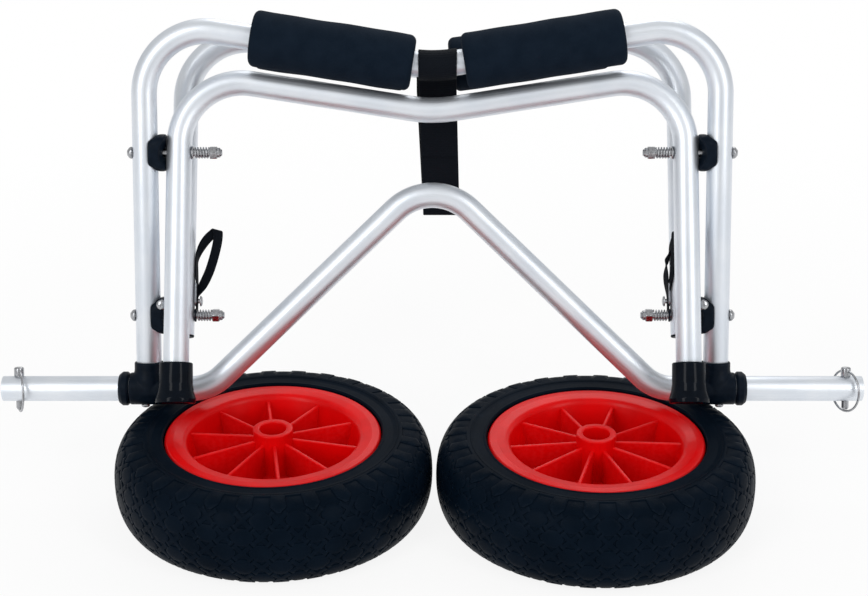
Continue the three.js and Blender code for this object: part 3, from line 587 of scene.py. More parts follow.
# Places of the leaning frames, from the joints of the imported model, in millimetres
jointPlaces = {joint["name"]: Vector(joint["pos_m"]) * 1000 for joint in frame["joints"] if "pos_m" in joint}
upperPivot, lowerPivot = jointPlaces["kickstand_swing"], jointPlaces["cradle_swing"]
pivotHeights = {"upper": 200, "lower": 62.8}
sideSigns = {"left": -1, "right": 1}
leans = {"kickstand": math.radians(30.2), "cradle": math.radians(32)}


def leaningPlace(origin, lean):
    return Matrix.Translation(origin) @ Matrix.Rotation(-lean, 4, "X")


mainLean = math.atan2(upperPivot.y - lowerPivot.y, upperPivot.z - lowerPivot.z)
mainUp = Vector((0, math.sin(mainLean), math.cos(mainLean)))
mainPlace = leaningPlace(lowerPivot - mainUp * pivotHeights["lower"], mainLean)
kickstandPlace = leaningPlace(upperPivot, leans["kickstand"])
cradlePlace = leaningPlace(lowerPivot, leans["cradle"])

# Frame tubes: two legs and a crossbar that dips to its middle
tube = {"outer": 10.6, "bore": 9.0, "slope": math.radians(9), "cornerBend": 52, "middleBend": 110}
mainTube = {"halfWidth": 240.3, "legStart": 11.6, "middleHeight": 271.6}
kickstandTube = {"halfWidth": 211.8, "legStart": -205.5, "middleHeight": 34.8}
cradleTube = {"halfWidth": 211.8, "legStart": -17.2, "middleHeight": 214.9}
axle = {"halfLength": 364.7, "archFoot": 189.4, "archPeak": 181.8, "footBend": 38, "peakBend": 45}


def bentTube(corners, bends):
    route = bentRoute([(x, 0, z) for x, z in corners], bends)
    return tubeShape(route, (0, 1, 0), tube["outer"], tube["bore"])


def frameTubeShape(values):
    half, start, middle = values["halfWidth"], values["legStart"], values["middleHeight"]
    shoulder = middle + half * math.tan(tube["slope"])
    corners = [(-half, start), (-half, shoulder), (0, middle), (half, shoulder), (half, start)]
    return bentTube(corners, [tube["cornerBend"], tube["middleBend"], tube["cornerBend"]])


def axleShape():
    half, foot = axle["halfLength"], axle["archFoot"]
    corners = [(-half, 0), (-foot, 0), (0, axle["archPeak"]), (foot, 0), (half, 0)]
    return bentTube(corners, [axle["footBend"], axle["peakBend"], axle["footBend"]])


for name, one, place, body in (
    ("main_frame_tube", frameTubeShape(mainTube), mainPlace, "main_frame"),
    ("kickstand_tube", frameTubeShape(kickstandTube), kickstandPlace, "kickstand"),
    ("cradle_tube", frameTubeShape(cradleTube), cradlePlace, "cradle"),
    ("axle_tube", axleShape(), mainPlace, "main_frame"),
):
    placePiece(name + "_skin", one, place, body, aluminium, [name])
print("tubes bent")

# Foam pads: each slides over a straight half of a crossbar
padShape = {"radius": 23.4, "edge": 5.5, "bore": 10.7, "lip": 0.6, "wave": 0.28, "spacing": 5,
            "longWave": 0.061, "shortWave": 0.147, "shortShare": 0.6, "waveFrom": 14, "waveOver": 8}
mainPads = {"left": (-150.4, -16.2), "right": (26.2, 158.9)}
cradlePads = {"left": (-151, -20.5), "right": (16.2, 150)}


def foamPadShape(start, end, middleHeight, seed):
    length = (end - start) / math.cos(tube["slope"])
    edge, radius = padShape["edge"], padShape["radius"]
    bore, lip = padShape["bore"], padShape["lip"]
    corners = [(bore, 0, lip), (radius, 0, edge), (radius, length, edge), (bore, length, lip)]
    rows = roundCorners(corners, closed=True, steps=8)
    split = next(i for i, row in enumerate(rows) if row[1] > length / 2)
    count = round(length / padShape["spacing"])
    between = [(radius, edge + (length - 2 * edge) * i / count) for i in range(1, count)]
    rows = rows[:split] + between + rows[split:]
    one = turnShape(rows + rows[:1], 72)
    points = one["points"]
    reach = np.hypot(points[:, 0], points[:, 1])
    angle = np.arctan2(points[:, 1], points[:, 0])
    wave = np.sin(points[:, 2] * padShape["longWave"] + seed) * np.cos(angle * 2 + seed * 1.7)
    short = np.sin(points[:, 2] * padShape["shortWave"] + seed * 2.3 + angle)
    wave += padShape["shortShare"] * short
    swell = padShape["wave"] * wave * np.clip((reach - padShape["waveFrom"]) / padShape["waveOver"], 0, 1)
    points[:, :2] *= ((reach + swell) / reach)[:, None]
    slope = math.copysign(tube["slope"], start)
    place = shift(start, 0, middleHeight + abs(start) * math.tan(tube["slope"]))
    return moveShape(one, place @ Matrix.Rotation(math.pi / 2 - slope, 4, "Y"))


for side in sideSigns:
    seed = 1.3 if side == "left" else 4.1
    for kind, span, middle, place, body in (
        ("main", mainPads[side], mainTube["middleHeight"], mainPlace, "main_frame"),
        ("cradle", cradlePads[side], cradleTube["middleHeight"], cradlePlace, "cradle"),
    ):
        one = foamPadShape(*span, middle, seed + len(kind))
        pad = placePiece(f"{side}_{kind}_foam", one, place, body, foam, [f"{side}_{kind}_pad"], 50)
print("pads made")

# Tees on the axle, their collars and locking screws
tee = {"barrel": 13.65, "start": 226, "end": 256.4, "socket": 12.4, "top": 23.4, "bore": 10.75, "flare": 1.5}
collar = {"radius": 14.4, "start": 256.9, "end": 265.7, "bore": 10.7}
teeScrew = {
    "place": 244, "shank": 2, "length": 6, "head": 3.6, "seat": -13.75, "headHeight": 2.2,
    "socket": 1.6, "socketFlat": 1.4, "socketDepth": 1.2,
}
acrossX = Matrix.Rotation(math.pi / 2, 4, "Y")  # turns a shape along Z to lie along X


def alongX(one):
    return moveShape(one, acrossX)


def teeShape():
    start, end, radius = tee["start"], tee["end"], tee["barrel"]
    corners = [(0, start, 0), (radius, start, 1.2), (radius, end, 0.8), (0, end, 0)]
    barrel = turnRounded(corners, 64, closed=False)
    flared = tee["socket"] + tee["flare"]
    socket = turnRounded([(0, 0, 0), (flared, 0, 0), (flared, 9, 6), (tee["socket"], 16.5, 8),
                          (tee["socket"], tee["top"], 1.4), (0, tee["top"], 0)], 64, closed=False)
    leg, bore, past = shift(mainTube["halfWidth"]), tee["bore"], 6  # the bores are cut past the ends
    axleBore = coneShape(bore, start - past, bore, end + past, 64)
    legBore = coneShape(bore, 0, bore, tee["top"] + past, 64)
    added, removed = [alongX(barrel), moveShape(socket, leg)], [alongX(axleBore), moveShape(legBore, leg)]
    return mouldShape(added, removed, 0.55, 5)


def collarShape():
    start, end, radius = collar["start"], collar["end"], collar["radius"]
    corners = [
        (collar["bore"], start, 0.3), (radius - 1.6, start, 0.5), (radius, start + 1.8, 0.6),
        (radius, end - 3.0, 0.8), (radius - 2.4, end, 0.8), (collar["bore"], end, 0.3),
    ]
    return alongX(turnRounded(corners, 72))


def teeScrewShape():
    seat, head, drop = teeScrew["seat"], teeScrew["head"], teeScrew["headHeight"]
    shank, foot, end = teeScrew["shank"], seat - drop, seat + teeScrew["length"]
    socket, flat, floor = teeScrew["socket"], teeScrew["socketFlat"], foot + teeScrew["socketDepth"]
    rows = [(0, end), (shank, end), (shank, seat), (head, seat), (head, seat - drop * 0.5),
            (head - 0.7, seat - drop * 0.9), (socket + 0.15, foot), (socket, foot, flat),
            (socket, floor, flat), (0, floor)]
    return turnShape(rows, 36)


teeSkin, collarSkin, teeScrewSkin = teeShape(), collarShape(), teeScrewShape()
for side, sign in sideSigns.items():
    for label, one, finish, node, sharp in (
        ("tee_shell", mirrorShape(teeSkin, sign), fitting, "tee_fitting", 60),
        ("collar_ring", mirrorShape(collarSkin, sign), fitting, "tee_collar", 35),
        ("locking_screw", moveShape(teeScrewSkin, shift(sign * teeScrew["place"])), zinc, "tee_screw", 35),
    ):
        placePiece(f"{side}_{label}", one, mainPlace, "main_frame", finish, [f"{side}_{node}"], sharp)
print("tees moulded")

# Pivots: saddle, bolt, washer, spring and nut, each along X and measured from the middle of the cart
armInner = kickstandTube["halfWidth"] - tube["outer"]
armOuter = kickstandTube["halfWidth"] + tube["outer"]
bolt = {"shank": 3, "head": 5, "headHeight": 4.1, "socket": 2.1, "socketDepth": 2.0, "end": 175.9}
washer = {"radius": 5.5, "bore": 3.2, "thickness": 1.2, "seat": 200.9, "upperCup": 0.1, "lowerCup": 0.5}
spring = {"radius": 4.2, "wire": 0.72, "turns": 5.2, "start": 199.6, "end": 186.4, "closed": 0.15}
nut = {"flat": 5, "corner": 5.77, "start": 186.1, "hex": 6.2, "length": 8.7, "collar": 4.2, "bore": 3.15}
saddle = {
    "end": 236.6, "halfHeight": 15.5, "halfDepth": 13.2, "squareness": 3.2, "across": 7.6, "up": 3.9,
    "ease": 1.6, "groove": 10.9, "hollowRadius": 18.5, "hollowDepth": 5.6, "hollowEnd": 8, "hole": 3.4,
}


def boltShape():
    seat = mainTube["halfWidth"] + tube["outer"] + 0.1
    head, tall = bolt["head"], bolt["headHeight"]
    deep = seat + tall - bolt["socketDepth"]
    rows = [(0, deep), (bolt["socket"] * 1.15, deep, bolt["socket"]),
            (bolt["socket"] * 1.15, seat + tall * 0.96, bolt["socket"]), (bolt["socket"] * 1.2, seat + tall)]
    rows += domeRows(head, seat + 0.9, tall - 0.75, 0.34, 7)
    shank, end = bolt["shank"], bolt["end"]
    rows += [(head, seat + 0.25), (head - 0.25, seat), (shank, seat), (shank, end + 0.7), (shank - 0.7, end),
             (0, end)]
    return alongX(turnShape(rows, 36))


def washerShape(cup):
    start = washer["seat"]
    inner, outer, thick = washer["bore"], washer["radius"], washer["thickness"]
    corners = [(inner, start - cup, 0.15), (outer, start, 0.25), (outer, start - thick, 0.25),
               (inner, start - thick - cup * 0.3, 0.15)]
    return alongX(turnRounded(corners, 40, steps=3))


def springShape():
    steps, sides = round(spring["turns"] * 28), 12
    closed = spring["closed"]
    pitch = 2.15 * spring["wire"]
    run = spring["start"] - spring["end"] - 2 * spring["wire"] - 2 * closed * pitch
    rings = []
    centres = []
    for step in range(steps + 1):
        turns = spring["turns"] * step / steps
        middle = min(max(turns - closed, 0), spring["turns"] - 2 * closed)
        ends = min(turns, closed) + max(turns - spring["turns"] + closed, 0)
        along = ends * pitch + middle / (spring["turns"] - 2 * closed) * run
        angle = 2 * math.pi * turns
        centres.append((spring["start"] - spring["wire"] - along, spring["radius"] * math.cos(angle),
                        spring["radius"] * math.sin(angle)))
    centres = np.array(centres)
    tangents = unitRows(np.gradient(centres, axis=0))
    for centre, tangent in zip(centres, tangents):
        outward = np.array((0, centre[1], centre[2])) / spring["radius"]
        sideways = np.cross(tangent, outward)
        angles = np.arange(sides) * 2 * math.pi / sides
        circle = np.outer(np.cos(angles), outward) + np.outer(np.sin(angles), sideways)
        rings.append(centre + circle * spring["wire"])
    return skinRings(rings, caps=True)


def nutShape():
    flat, corner, start = nut["flat"], nut["corner"], nut["start"]
    end = start - nut["hex"]
    tip = start - nut["length"]
    bore, neck = nut["bore"], nut["collar"]
    rows = [(bore + 0.5, start), (flat - 0.15, start), (flat + 0.35, start - 0.35, flat),
            (corner, start - 0.8, flat), (corner, end + 0.8, flat), (flat + 0.35, end + 0.35, flat),
            (flat - 0.25, end), (neck, end - 0.1), (neck, tip + 0.7), (neck - 0.5, tip), (bore + 0.2, tip),
            (bore, tip + 0.4), (bore, start - 0.5), (bore + 0.5, start)]
    return alongX(turnShape(rows, 72))


# Spacer between a main leg and the arm beside it: a barrel along the bolt, grooved for the leg and
# hollowed where the arm turns
def saddleShape():
    inner, outer = armOuter + 0.15, saddle["end"]
    rings = []
    angles = turnAngles(64)
    power = 2 / saddle["squareness"]
    depth = np.sign(np.cos(angles)) * np.abs(np.cos(angles)) ** power * saddle["halfDepth"]
    rise = np.sign(np.sin(angles)) * np.abs(np.sin(angles)) ** power * saddle["halfHeight"]
    ease, across, up = saddle["ease"], saddle["across"], saddle["up"]
    for x, inset, drop in (
        (inner, ease, ease), (inner + ease * 0.3, ease * 0.3, ease * 0.3), (inner + ease, 0, 0),
        (outer - across - 1.5, 0, 0), (outer - across + 1, 0, 0.5), (outer - 1.0, 0, up - 0.8),
        (outer - 0.2, 0.2, up), (outer, 0.7, up + 0.8),
    ):
        rings.append(np.column_stack([np.full(64, x), depth * (1 - inset / saddle["halfDepth"]),
                                      rise * (1 - drop / saddle["halfHeight"])]))
    barrel = skinRings(rings, caps=True)
    reach = saddle["halfHeight"] + 8
    legGroove = coneShape(saddle["groove"], -reach, saddle["groove"], reach, 64)
    radius = saddle["hollowRadius"]
    front, back = saddle["halfDepth"] + 1, saddle["hollowEnd"]
    closing = radius - saddle["hollowDepth"] - 0.4
    hollowPlace = shift(inner + saddle["hollowDepth"] - radius) @ Matrix.Rotation(math.pi / 2, 4, "X")
    armHollow = moveShape(coneShape(radius, front, closing, -back, 96), hollowPlace)
    hole = alongX(coneShape(saddle["hole"], armInner, saddle["hole"], outer, 32))
    return mouldShape([barrel], [moveShape(legGroove, shift(mainTube["halfWidth"])), armHollow, hole], 0.5, 3)


# Screw let into the front of each lower saddle
saddleScrew = {
    "place": 227.3, "rise": 10.4, "seat": 11.7, "head": 4.3, "headHeight": 2.6, "shank": 2, "length": 5,
}


def saddleScrewShape():
    seat, head, tall = saddleScrew["seat"], saddleScrew["head"], saddleScrew["headHeight"]
    rows = [(0, seat + tall - 0.9), (1.0, seat + tall - 0.9), (1.25, seat + tall)]
    rows += domeRows(head, seat + 0.8, tall - 0.8, 0.3, 6)
    shank, foot = saddleScrew["shank"], seat - saddleScrew["length"]
    rows += [(head, seat), (shank, seat), (shank, foot), (0, foot)]
    return moveShape(turnShape(rows, 36), Matrix.Rotation(math.pi / 2, 4, "X"))


pivotParts = [
    ("spacer", "saddle", saddleShape(), fitting, 60), ("dome_bolt", "bolt", boltShape(), zinc, 30),
    ("coil", "spring", springShape(), zinc, 60), ("lock_nut", "nut", nutShape(), zinc, 25),
]
washers = {
    "upper": (washerShape(washer["upperCup"]), zinc), "lower": (washerShape(washer["lowerCup"]), fitting),
}
for side, sign in sideSigns.items():
    for level, height in pivotHeights.items():
        place = mainPlace @ shift(z=height)
        for label, kind, one, finish, sharp in [*pivotParts, ("washer_ring", "washer", *washers[level], 35)]:
            placePiece(f"{side}_{level}_{label}", mirrorShape(one, sign), place, "main_frame", finish,
                       [f"{side}_{level}_{kind}"], sharp)
    screwPlace = shift(sign * saddleScrew["place"], 0, pivotHeights["lower"] + saddleScrew["rise"])
    placePiece(f"{side}_saddle_screw", saddleScrewShape(), mainPlace @ screwPlace, "main_frame", zinc, [])
print("pivots fitted")

# Rubber feet of the kickstand, and the cradle's end plugs
foot = {"sole": -209.5, "length": 33.5, "radius": 14.1, "flare": 16.8, "bore": 10.75}
plug = {"cap": 1.6, "depth": 9, "bore": 8.8}


def footShape():
    sole, top, radius, flare = foot["sole"], foot["sole"] + foot["length"], foot["radius"], foot["flare"]
    corners = [
        (0, sole + 1.2, 0), (flare - 6, sole + 1.2, 0.4), (flare - 5, sole, 0.4), (flare - 0.4, sole, 0.8),
        (flare, sole + 3.6, 1.6), (radius + 0.9, sole + 9.5, 6), (radius, sole + 16, 12),
        (radius - 0.3, top, 1.3), (foot["bore"], top, 0.5), (foot["bore"], sole + 3.7, 0), (0, sole + 3.7, 0),
    ]
    return turnRounded(corners, 96, closed=False, steps=7)


def plugShape():
    tail, outer, bore = cradleTube["legStart"], tube["outer"], plug["bore"]
    low, high = tail - plug["cap"], tail + plug["depth"]
    corners = [(0, low, 0), (outer - 0.2, low, 1.3), (outer, tail - 0.1, 0.2), (bore, tail - 0.1, 0.1),
               (bore, high, 0.6), (0, high, 0)]
    return turnRounded(corners, 64, closed=False)


# Strap anchors inside the cradle's legs: a tab and a loop of webbing under one rivet
anchor = {"height": 12, "tabTop": 27.5, "tabFoot": 7.5, "tabWidth": 10, "tabFace": 200.9, "tabThickness": 1.5}
loop = {"thickness": 1.2, "spacing": 0.6, "window": 4, "hinge": 198, "turn": {"left": 0, "right": 114}}
# Middle of each band as (across, out, height) in its own turned plane, and half its width as a vector
loopRoutes = {
    "left": [
        (199.2, 0, 5, 0, -4, 0), (199.2, 0, 14, 0, -4, 0), (198.4, 0, 18.5, -2.2, -3.3, -0.7),
        (196.4, -0.6, 22, -3.4, -1.6, -1.4), (193.7, -1, 27, -3.6, -0.3, -1.7),
        (191.3, -1, 32, -3.65, 0, -1.6), (188.6, -1, 38.8, -3.75, 0, -1.4),
        (186.3, -1, 46.5, -3.85, 0, -1.1), (184.3, -1, 54.5, -3.9, 0, -0.8),
        (182.6, -1, 63, -3.95, 0, -0.6), (182.3, -1, 68.5, -4.1, 0, 0), (183, -1, 73, -4.6, 0, -1.1),
        (183.1, 0, 74.3, -4.6, 0, -1.3), (183.4, 1, 73.2, -4.5, 0, -1.4), (187, 1.2, 70.3, -3.4, 0, -2.3),
        (190.6, 1.2, 67, -2.75, 0.3, -2.9), (193.8, 1, 63, -2.9, 1, -2.3),
        (196.8, 0.7, 57.8, -2.6, 2.2, -1.5), (199.3, 0.3, 51.8, -1.5, 3.5, -0.7),
        (200.3, 0, 46, -0.3, 4, 0), (200.3, 0, 40, -0.7, 3.9, 0), (200.1, 0, 34, -0.7, 3.9, 0),
        (199.5, 0, 28, -0.2, 4, 0), (199.3, 0, 18, 0, 4, 0), (199.3, 0, 5, 0, 4, 0),
    ],
    "right": [
        (197.5, -1.2, 5, -3.65, 1.63, 0), (197.5, -1.2, 17, -3.65, 1.63, 0),
        (197.8, -0.7, 22.5, -3.9, 0.9, 0), (198, -0.2, 28, -4, 0.2, 0), (198, 0, 35, -4, 0, 0),
        (197.6, 0, 42.5, -3.2, 1.6, 0.8), (196.1, 0, 46.5, -1.8, 3.3, 0.5), (192.9, 0, 51, -2.6, 2.4, -1.4),
        (189.3, 0, 56.5, -3.4, 0.6, -1.8), (186, -0.6, 62, -3.5, 0, -1.9),
        (183.4, -0.9, 66.3, -3.6, 0, -1.6), (181.7, -0.9, 69, -4, 0, -0.8), (181.5, 0, 70.2, -4, 0, -0.7),
        (181.7, 0.9, 69, -4, 0, -0.6), (182, 1.1, 64, -3.9, 0, -0.2), (182.2, 1.1, 57, -4, 0, 0.3),
        (183.2, 1, 49, -3.9, 0, 0.8), (185.6, 0.6, 41, -3.7, 0, 1.4), (188.6, -0.2, 34.5, -3.4, -0.4, 1.9),
        (192, -0.9, 28, -3.3, 0, 1.7), (195.6, -1, 21, -3.6, 0.8, 0.8), (197.4, -1.3, 14, -3.65, 1.63, 0),
        (197.4, -1.3, 5, -3.65, 1.63, 0),
    ],
}
rivet = {"head": 4.5, "shank": 2.0, "seat": 196.5, "headHeight": 2.2, "end": 203.7}


def tabShape():
    half = anchor["tabWidth"] / 2
    corners = [(-half, anchor["tabFoot"], 4.5), (half, anchor["tabFoot"], 4.5), (half, anchor["tabTop"], 1.5),
               (-half, anchor["tabTop"], 1.5)]
    plate = plateShape(roundCorners(corners, closed=True, steps=6), anchor["tabThickness"], 0.25)
    upright = Matrix(((0, 0, 1, 0), (1, 0, 0, 0), (0, 1, 0, 0), (0, 0, 0, 1)))
    return moveShape(plate, shift(anchor["tabFace"] - anchor["tabThickness"]) @ upright)


def rivetShape():
    rows = [(0, rivet["end"]), (rivet["shank"], rivet["end"]), (rivet["shank"], rivet["seat"])]
    for step in range(7):
        angle = math.pi / 2 * step / 6
        height = rivet["seat"] - 0.5 - (rivet["headHeight"] - 0.5) * math.sin(angle)
        rows.append((rivet["head"] * math.cos(angle), height))
    rows.insert(3, (rivet["head"], rivet["seat"]))
    rows[-1] = (0, rows[-1][1])
    return moveShape(alongX(turnShape(rows, 36)), shift(z=anchor["height"]))


# Even steps along a line of points, with its corners eased over a short window
def evenRoute(points, spacing, window):
    points = np.array(points, float)
    for _ in range(2):
        steps = runLengths(points)
        places = np.linspace(0, steps[-1], max(2, round(steps[-1] / spacing)) + 1)
        points = np.column_stack([np.interp(places, steps, points[:, k]) for k in range(points.shape[1])])
        reach = max(1, round(window / spacing / 2))
        padded = np.concatenate([
            2 * points[0] - points[reach:0:-1], points, 2 * points[-1] - points[-2:-reach - 2:-1],
        ])
        kernel = np.ones(2 * reach + 1) / (2 * reach + 1)
        points = np.column_stack([np.convolve(padded[:, k], kernel, "valid") for k in range(points.shape[1])])
    return points


# Band along a route of (u, v) in a plane: woven ribs on both faces and round selvedges
def bandShape(route, width, thickness, ribs, relief, columns=16):
    tangents = unitRows(np.gradient(route, axis=0))
    normals = np.column_stack([-tangents[:, 1], tangents[:, 0]])
    half = thickness / 2
    flat = [(across, 1) for across in np.linspace(-width / 2 + half, width / 2 - half, columns + 1)]
    turns = np.radians((30, 60, 90, 120, 150))
    edge = [(width / 2 - half + half * math.sin(angle), math.cos(angle)) for angle in turns]
    section = flat + edge + [(-across, -side) for across, side in flat + edge]
    rings, lay = [], []
    for place, normal, along in zip(route, normals, runLengths(route)):
        bulge = relief * math.cos(2 * math.pi * along / ribs)
        ring, laid = [], []
        for across, side in section:
            away = side * (half + bulge)
            ring.append((across, place[0] + normal[0] * away, place[1] + normal[1] * away))
            laid.append((across, away, along))
        rings.append(ring)
        lay.append(laid)
    return skinRings(rings, caps=True, lay=lay)


# Band along rows of (x, y, z) and half its width as a vector: flat faces and round selvedges
def ribbonShape(rows, thickness):
    middles, halves = rows[:, :3], rows[:, 3:]
    normals = unitRows(np.cross(np.gradient(middles, axis=0), halves))
    flat = [(across, 1.0) for across in np.linspace(-0.88, 0.88, 9)]
    section = flat + [(1.0, 0.0)] + [(-across, -1.0) for across, _ in flat] + [(-1.0, 0.0)]
    rings, lay = [], []
    for middle, half, normal, along in zip(middles, halves, normals, runLengths(middles)):
        rings.append([middle + half * across + normal * side * thickness / 2 for across, side in section])
        width = float(np.linalg.norm(half))
        lay.append([(across * width, side * thickness / 2, along) for across, side in section])
    return skinRings(rings, caps=True, lay=lay)


def loopShape(side):
    rows = evenRoute(loopRoutes[side], loop["spacing"], loop["window"])
    rows[:, 0] -= loop["hinge"]
    band = ribbonShape(rows, loop["thickness"])
    turn = Matrix.Rotation(math.radians(loop["turn"][side]), 4, "Z")
    return moveShape(band, shift(loop["hinge"]) @ turn)


footSkin, plugSkin, tabSkin, rivetSkin = footShape(), plugShape(), tabShape(), rivetShape()
for side, sign in sideSigns.items():
    leg = shift(sign * kickstandTube["halfWidth"])
    for label, node, one, place, body, finish, sharp in (
        ("rubber_foot", "kickstand_foot", footSkin, kickstandPlace @ leg, "kickstand", footRubber, 50),
        ("end_plug", "cradle_plug", plugSkin, cradlePlace @ leg, "cradle", fitting, 50),
        ("steel_tab", "anchor_tab", mirrorShape(tabSkin, sign), cradlePlace, "cradle", zinc, 35),
        ("rivet_dome", "anchor_rivet", mirrorShape(rivetSkin, sign), cradlePlace, "cradle", zinc, 35),
        ("loop_band", "webbing_loop", mirrorShape(loopShape(side), sign), cradlePlace, "cradle", webbing, 35),
    ):
        placePiece(f"{side}_{label}", one, place, body, finish, [f"{side}_{node}"], sharp)
print("feet, plugs and anchors made")

# Strap between the two crossbars, in the plane of (y, z): a lapped sleeve at each end and a slack fold
strap = {
    "width": 32, "thickness": 1.5, "spacing": 0.5, "ribs": 2.2, "relief": 0.09, "sleeve": 11.55,
    "mainPinch": (108, 331), "front": [(113.5, 312), (121.4, 204)], "foldRadius": 2.3,
    "back": [(126.0, 204), (131.2, 296)], "cradlePinch": (131.6, 312),
    "lap": 1.55, "mainLapEnd": 259, "cradleLapEnd": 286, "mainX": 4.2, "foldX": 7.8, "cradleX": 2.4,
    "blendStart": 103, "blendEnd": 134,
    "dipFrom": 300, "dipOver": 30,  # heights over which the band takes up its crossbars' dip
}


def crossbarMiddle(place, values):
    lift = tube["middleBend"] * (1 / math.cos(tube["slope"]) - 1)
    middle = place @ Vector((0, 0, values["middleHeight"] + lift))
    return np.array((middle.y, middle.z))


# Arc of a sleeve round a crossbar, from one tangent of the pinch point to the other
def sleeveArc(centre, pinch):
    away = np.array(pinch) - centre
    base = math.atan2(away[1], away[0])
    spread = math.acos(strap["sleeve"] / np.linalg.norm(away))
    first, last = base - spread, base + spread - 2 * math.pi
    angles = np.linspace(first, last, 60)
    return [tuple(centre + strap["sleeve"] * np.array((math.cos(a), math.sin(a)))) for a in angles]


def strapRoute():
    lap = strap["lap"]
    front, back = strap["front"], strap["back"]
    mainPinch, cradlePinch = strap["mainPinch"], strap["cradlePinch"]
    share = (front[0][1] - strap["mainLapEnd"]) / (front[0][1] - front[1][1])
    lapFoot = front[0][0] + share * (front[1][0] - front[0][0])
    points = [(lapFoot - lap, strap["mainLapEnd"]), (front[0][0] - lap, front[0][1]),
              (mainPinch[0] - lap * 0.8, mainPinch[1] - lap * 0.6)]
    points += sleeveArc(crossbarMiddle(mainPlace, mainTube), mainPinch)
    points += [mainPinch, *front]
    middle = (front[1][0] + back[0][0]) / 2
    for degrees in range(195, 350, 15):
        angle = math.radians(degrees)
        points.append((middle + strap["foldRadius"] * math.cos(angle),
                       front[1][1] + strap["foldRadius"] * math.sin(angle)))
    points += [*back, cradlePinch]
    cradleArc = sleeveArc(crossbarMiddle(cradlePlace, cradleTube), cradlePinch)
    points += cradleArc
    points += [(cradlePinch[0] + lap * 0.8, cradlePinch[1] - lap * 0.6), (back[1][0] + lap, back[1][1]),
               (back[1][0] + lap - 0.6, strap["cradleLapEnd"])]
    return evenRoute(points, strap["spacing"], 3)


def strapShape():
    route = strapRoute()
    band = bandShape(route, strap["width"], strap["thickness"], strap["ribs"], strap["relief"], 24)
    around = len(band["points"]) // len(route)
    low = int(np.argmin(route[:, 1]))
    top, foldZ = strap["mainPinch"][1], route[low, 1]
    heights = route[:, 1]
    sunk = np.clip((top - heights) / (top - foldZ), 0, 1)
    raised = np.clip((heights - foldZ) / (strap["cradlePinch"][1] - foldZ), 0, 1)
    frontX = strap["mainX"] + (strap["foldX"] - strap["mainX"]) * sunk
    backX = strap["foldX"] + (strap["cradleX"] - strap["foldX"]) * raised
    middle = np.where(np.arange(len(route)) < low, frontX, backX)
    points = band["points"]
    points[:, 0] += np.repeat(middle, around)
    # The sleeves follow the dip of their crossbars
    rise = tube["middleBend"] / math.cos(tube["slope"])
    inside = np.clip(np.abs(points[:, 0]), 0, tube["middleBend"] * math.sin(tube["slope"]))
    dip = rise - np.sqrt(tube["middleBend"] ** 2 - inside ** 2)
    dip += (np.abs(points[:, 0]) - inside) * math.tan(tube["slope"]) - (rise - tube["middleBend"])
    near = np.clip((np.repeat(heights, around) - strap["dipFrom"]) / strap["dipOver"], 0, 1)
    points[:, 2] += dip * near
    return band


strapBand = placePiece("strap_webbing", strapShape(), Matrix.Identity(4), None, webbing, ["spread_strap"], 60)
strapLength = float(runLengths(strapRoute())[-1])
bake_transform(strapBand)
print("strap hung,", round(strapLength), "mm long")

# Lock pins and ring bails, turned about their pins as the photo shows them
pin = {"place": 351, "radius": 3.1, "tip": -17.8, "top": 18.4, "head": 4.2, "seat": 10.9, "bailHole": 15.5}
bail = {"radius": 17.4, "wire": 1.0, "turn": {"left": 22, "right": 28}}


def pinShape():
    corners = [
        (0, pin["tip"], 0), (pin["radius"] - 0.8, pin["tip"], 0.5), (pin["radius"], pin["tip"] + 1.5, 0.6),
        (pin["radius"], pin["seat"], 0), (pin["head"], pin["seat"], 0.4), (pin["head"], pin["top"], 1.6),
        (0, pin["top"], 0),
    ]
    return turnRounded(corners, 40, closed=False, steps=5)


def bailShape():
    rings = []
    sides = 12
    angles = np.arange(sides) * 2 * math.pi / sides
    for step in range(96):
        turn = 2 * math.pi * step / 96
        outward = np.array((0, math.cos(turn), math.sin(turn)))
        circle = np.outer(np.cos(angles), outward) + np.outer(np.sin(angles), (1, 0, 0))
        middle = outward * bail["radius"] + (0, 0, pin["bailHole"] - bail["radius"])
        rings.append(middle + circle * bail["wire"])
    return skinRings(rings, loop=True)


pinSkin, bailSkin = pinShape(), bailShape()
for side, sign in sideSigns.items():
    turn = Matrix.Rotation(math.radians(bail["turn"][side]), 4, "Z")
    holder = mainPlace @ shift(sign * pin["place"]) @ turn
    placePiece(f"{side}_pin_body", pinSkin, holder, f"{side}_pin", zinc, [f"{side}_lock_pin"])
    placePiece(f"{side}_ring_bail", bailSkin, holder, f"{side}_bail", zinc, [f"{side}_lock_pin_bail"], 60)
print("pins made")

# Rims: dished web and bead seat, hub and ten thin ribs
wheelWidth = 72.8
rim = {
    "section": [(11.6, 3, 0), (64.5, 3, 6), (71.6, 33.2, 6), (82, 34.7, 3), (87.9, 34.4, 1.3),
                (89.4, 32.9, 0.8), (89.4, 30.1, 0.3), (81.6, 29.1, 0.8)],
    "hub": 16.5, "bore": 11, "hubFrom": 2.5, "hubTo": 76,
    "ribs": 10, "ribThickness": 2.8, "ribInner": 13, "ribOuter": 72.5, "ribFrom": 6, "ribTo": 68,
    "ribDrop": 3, "phase": {"left": 98, "right": 74},
}


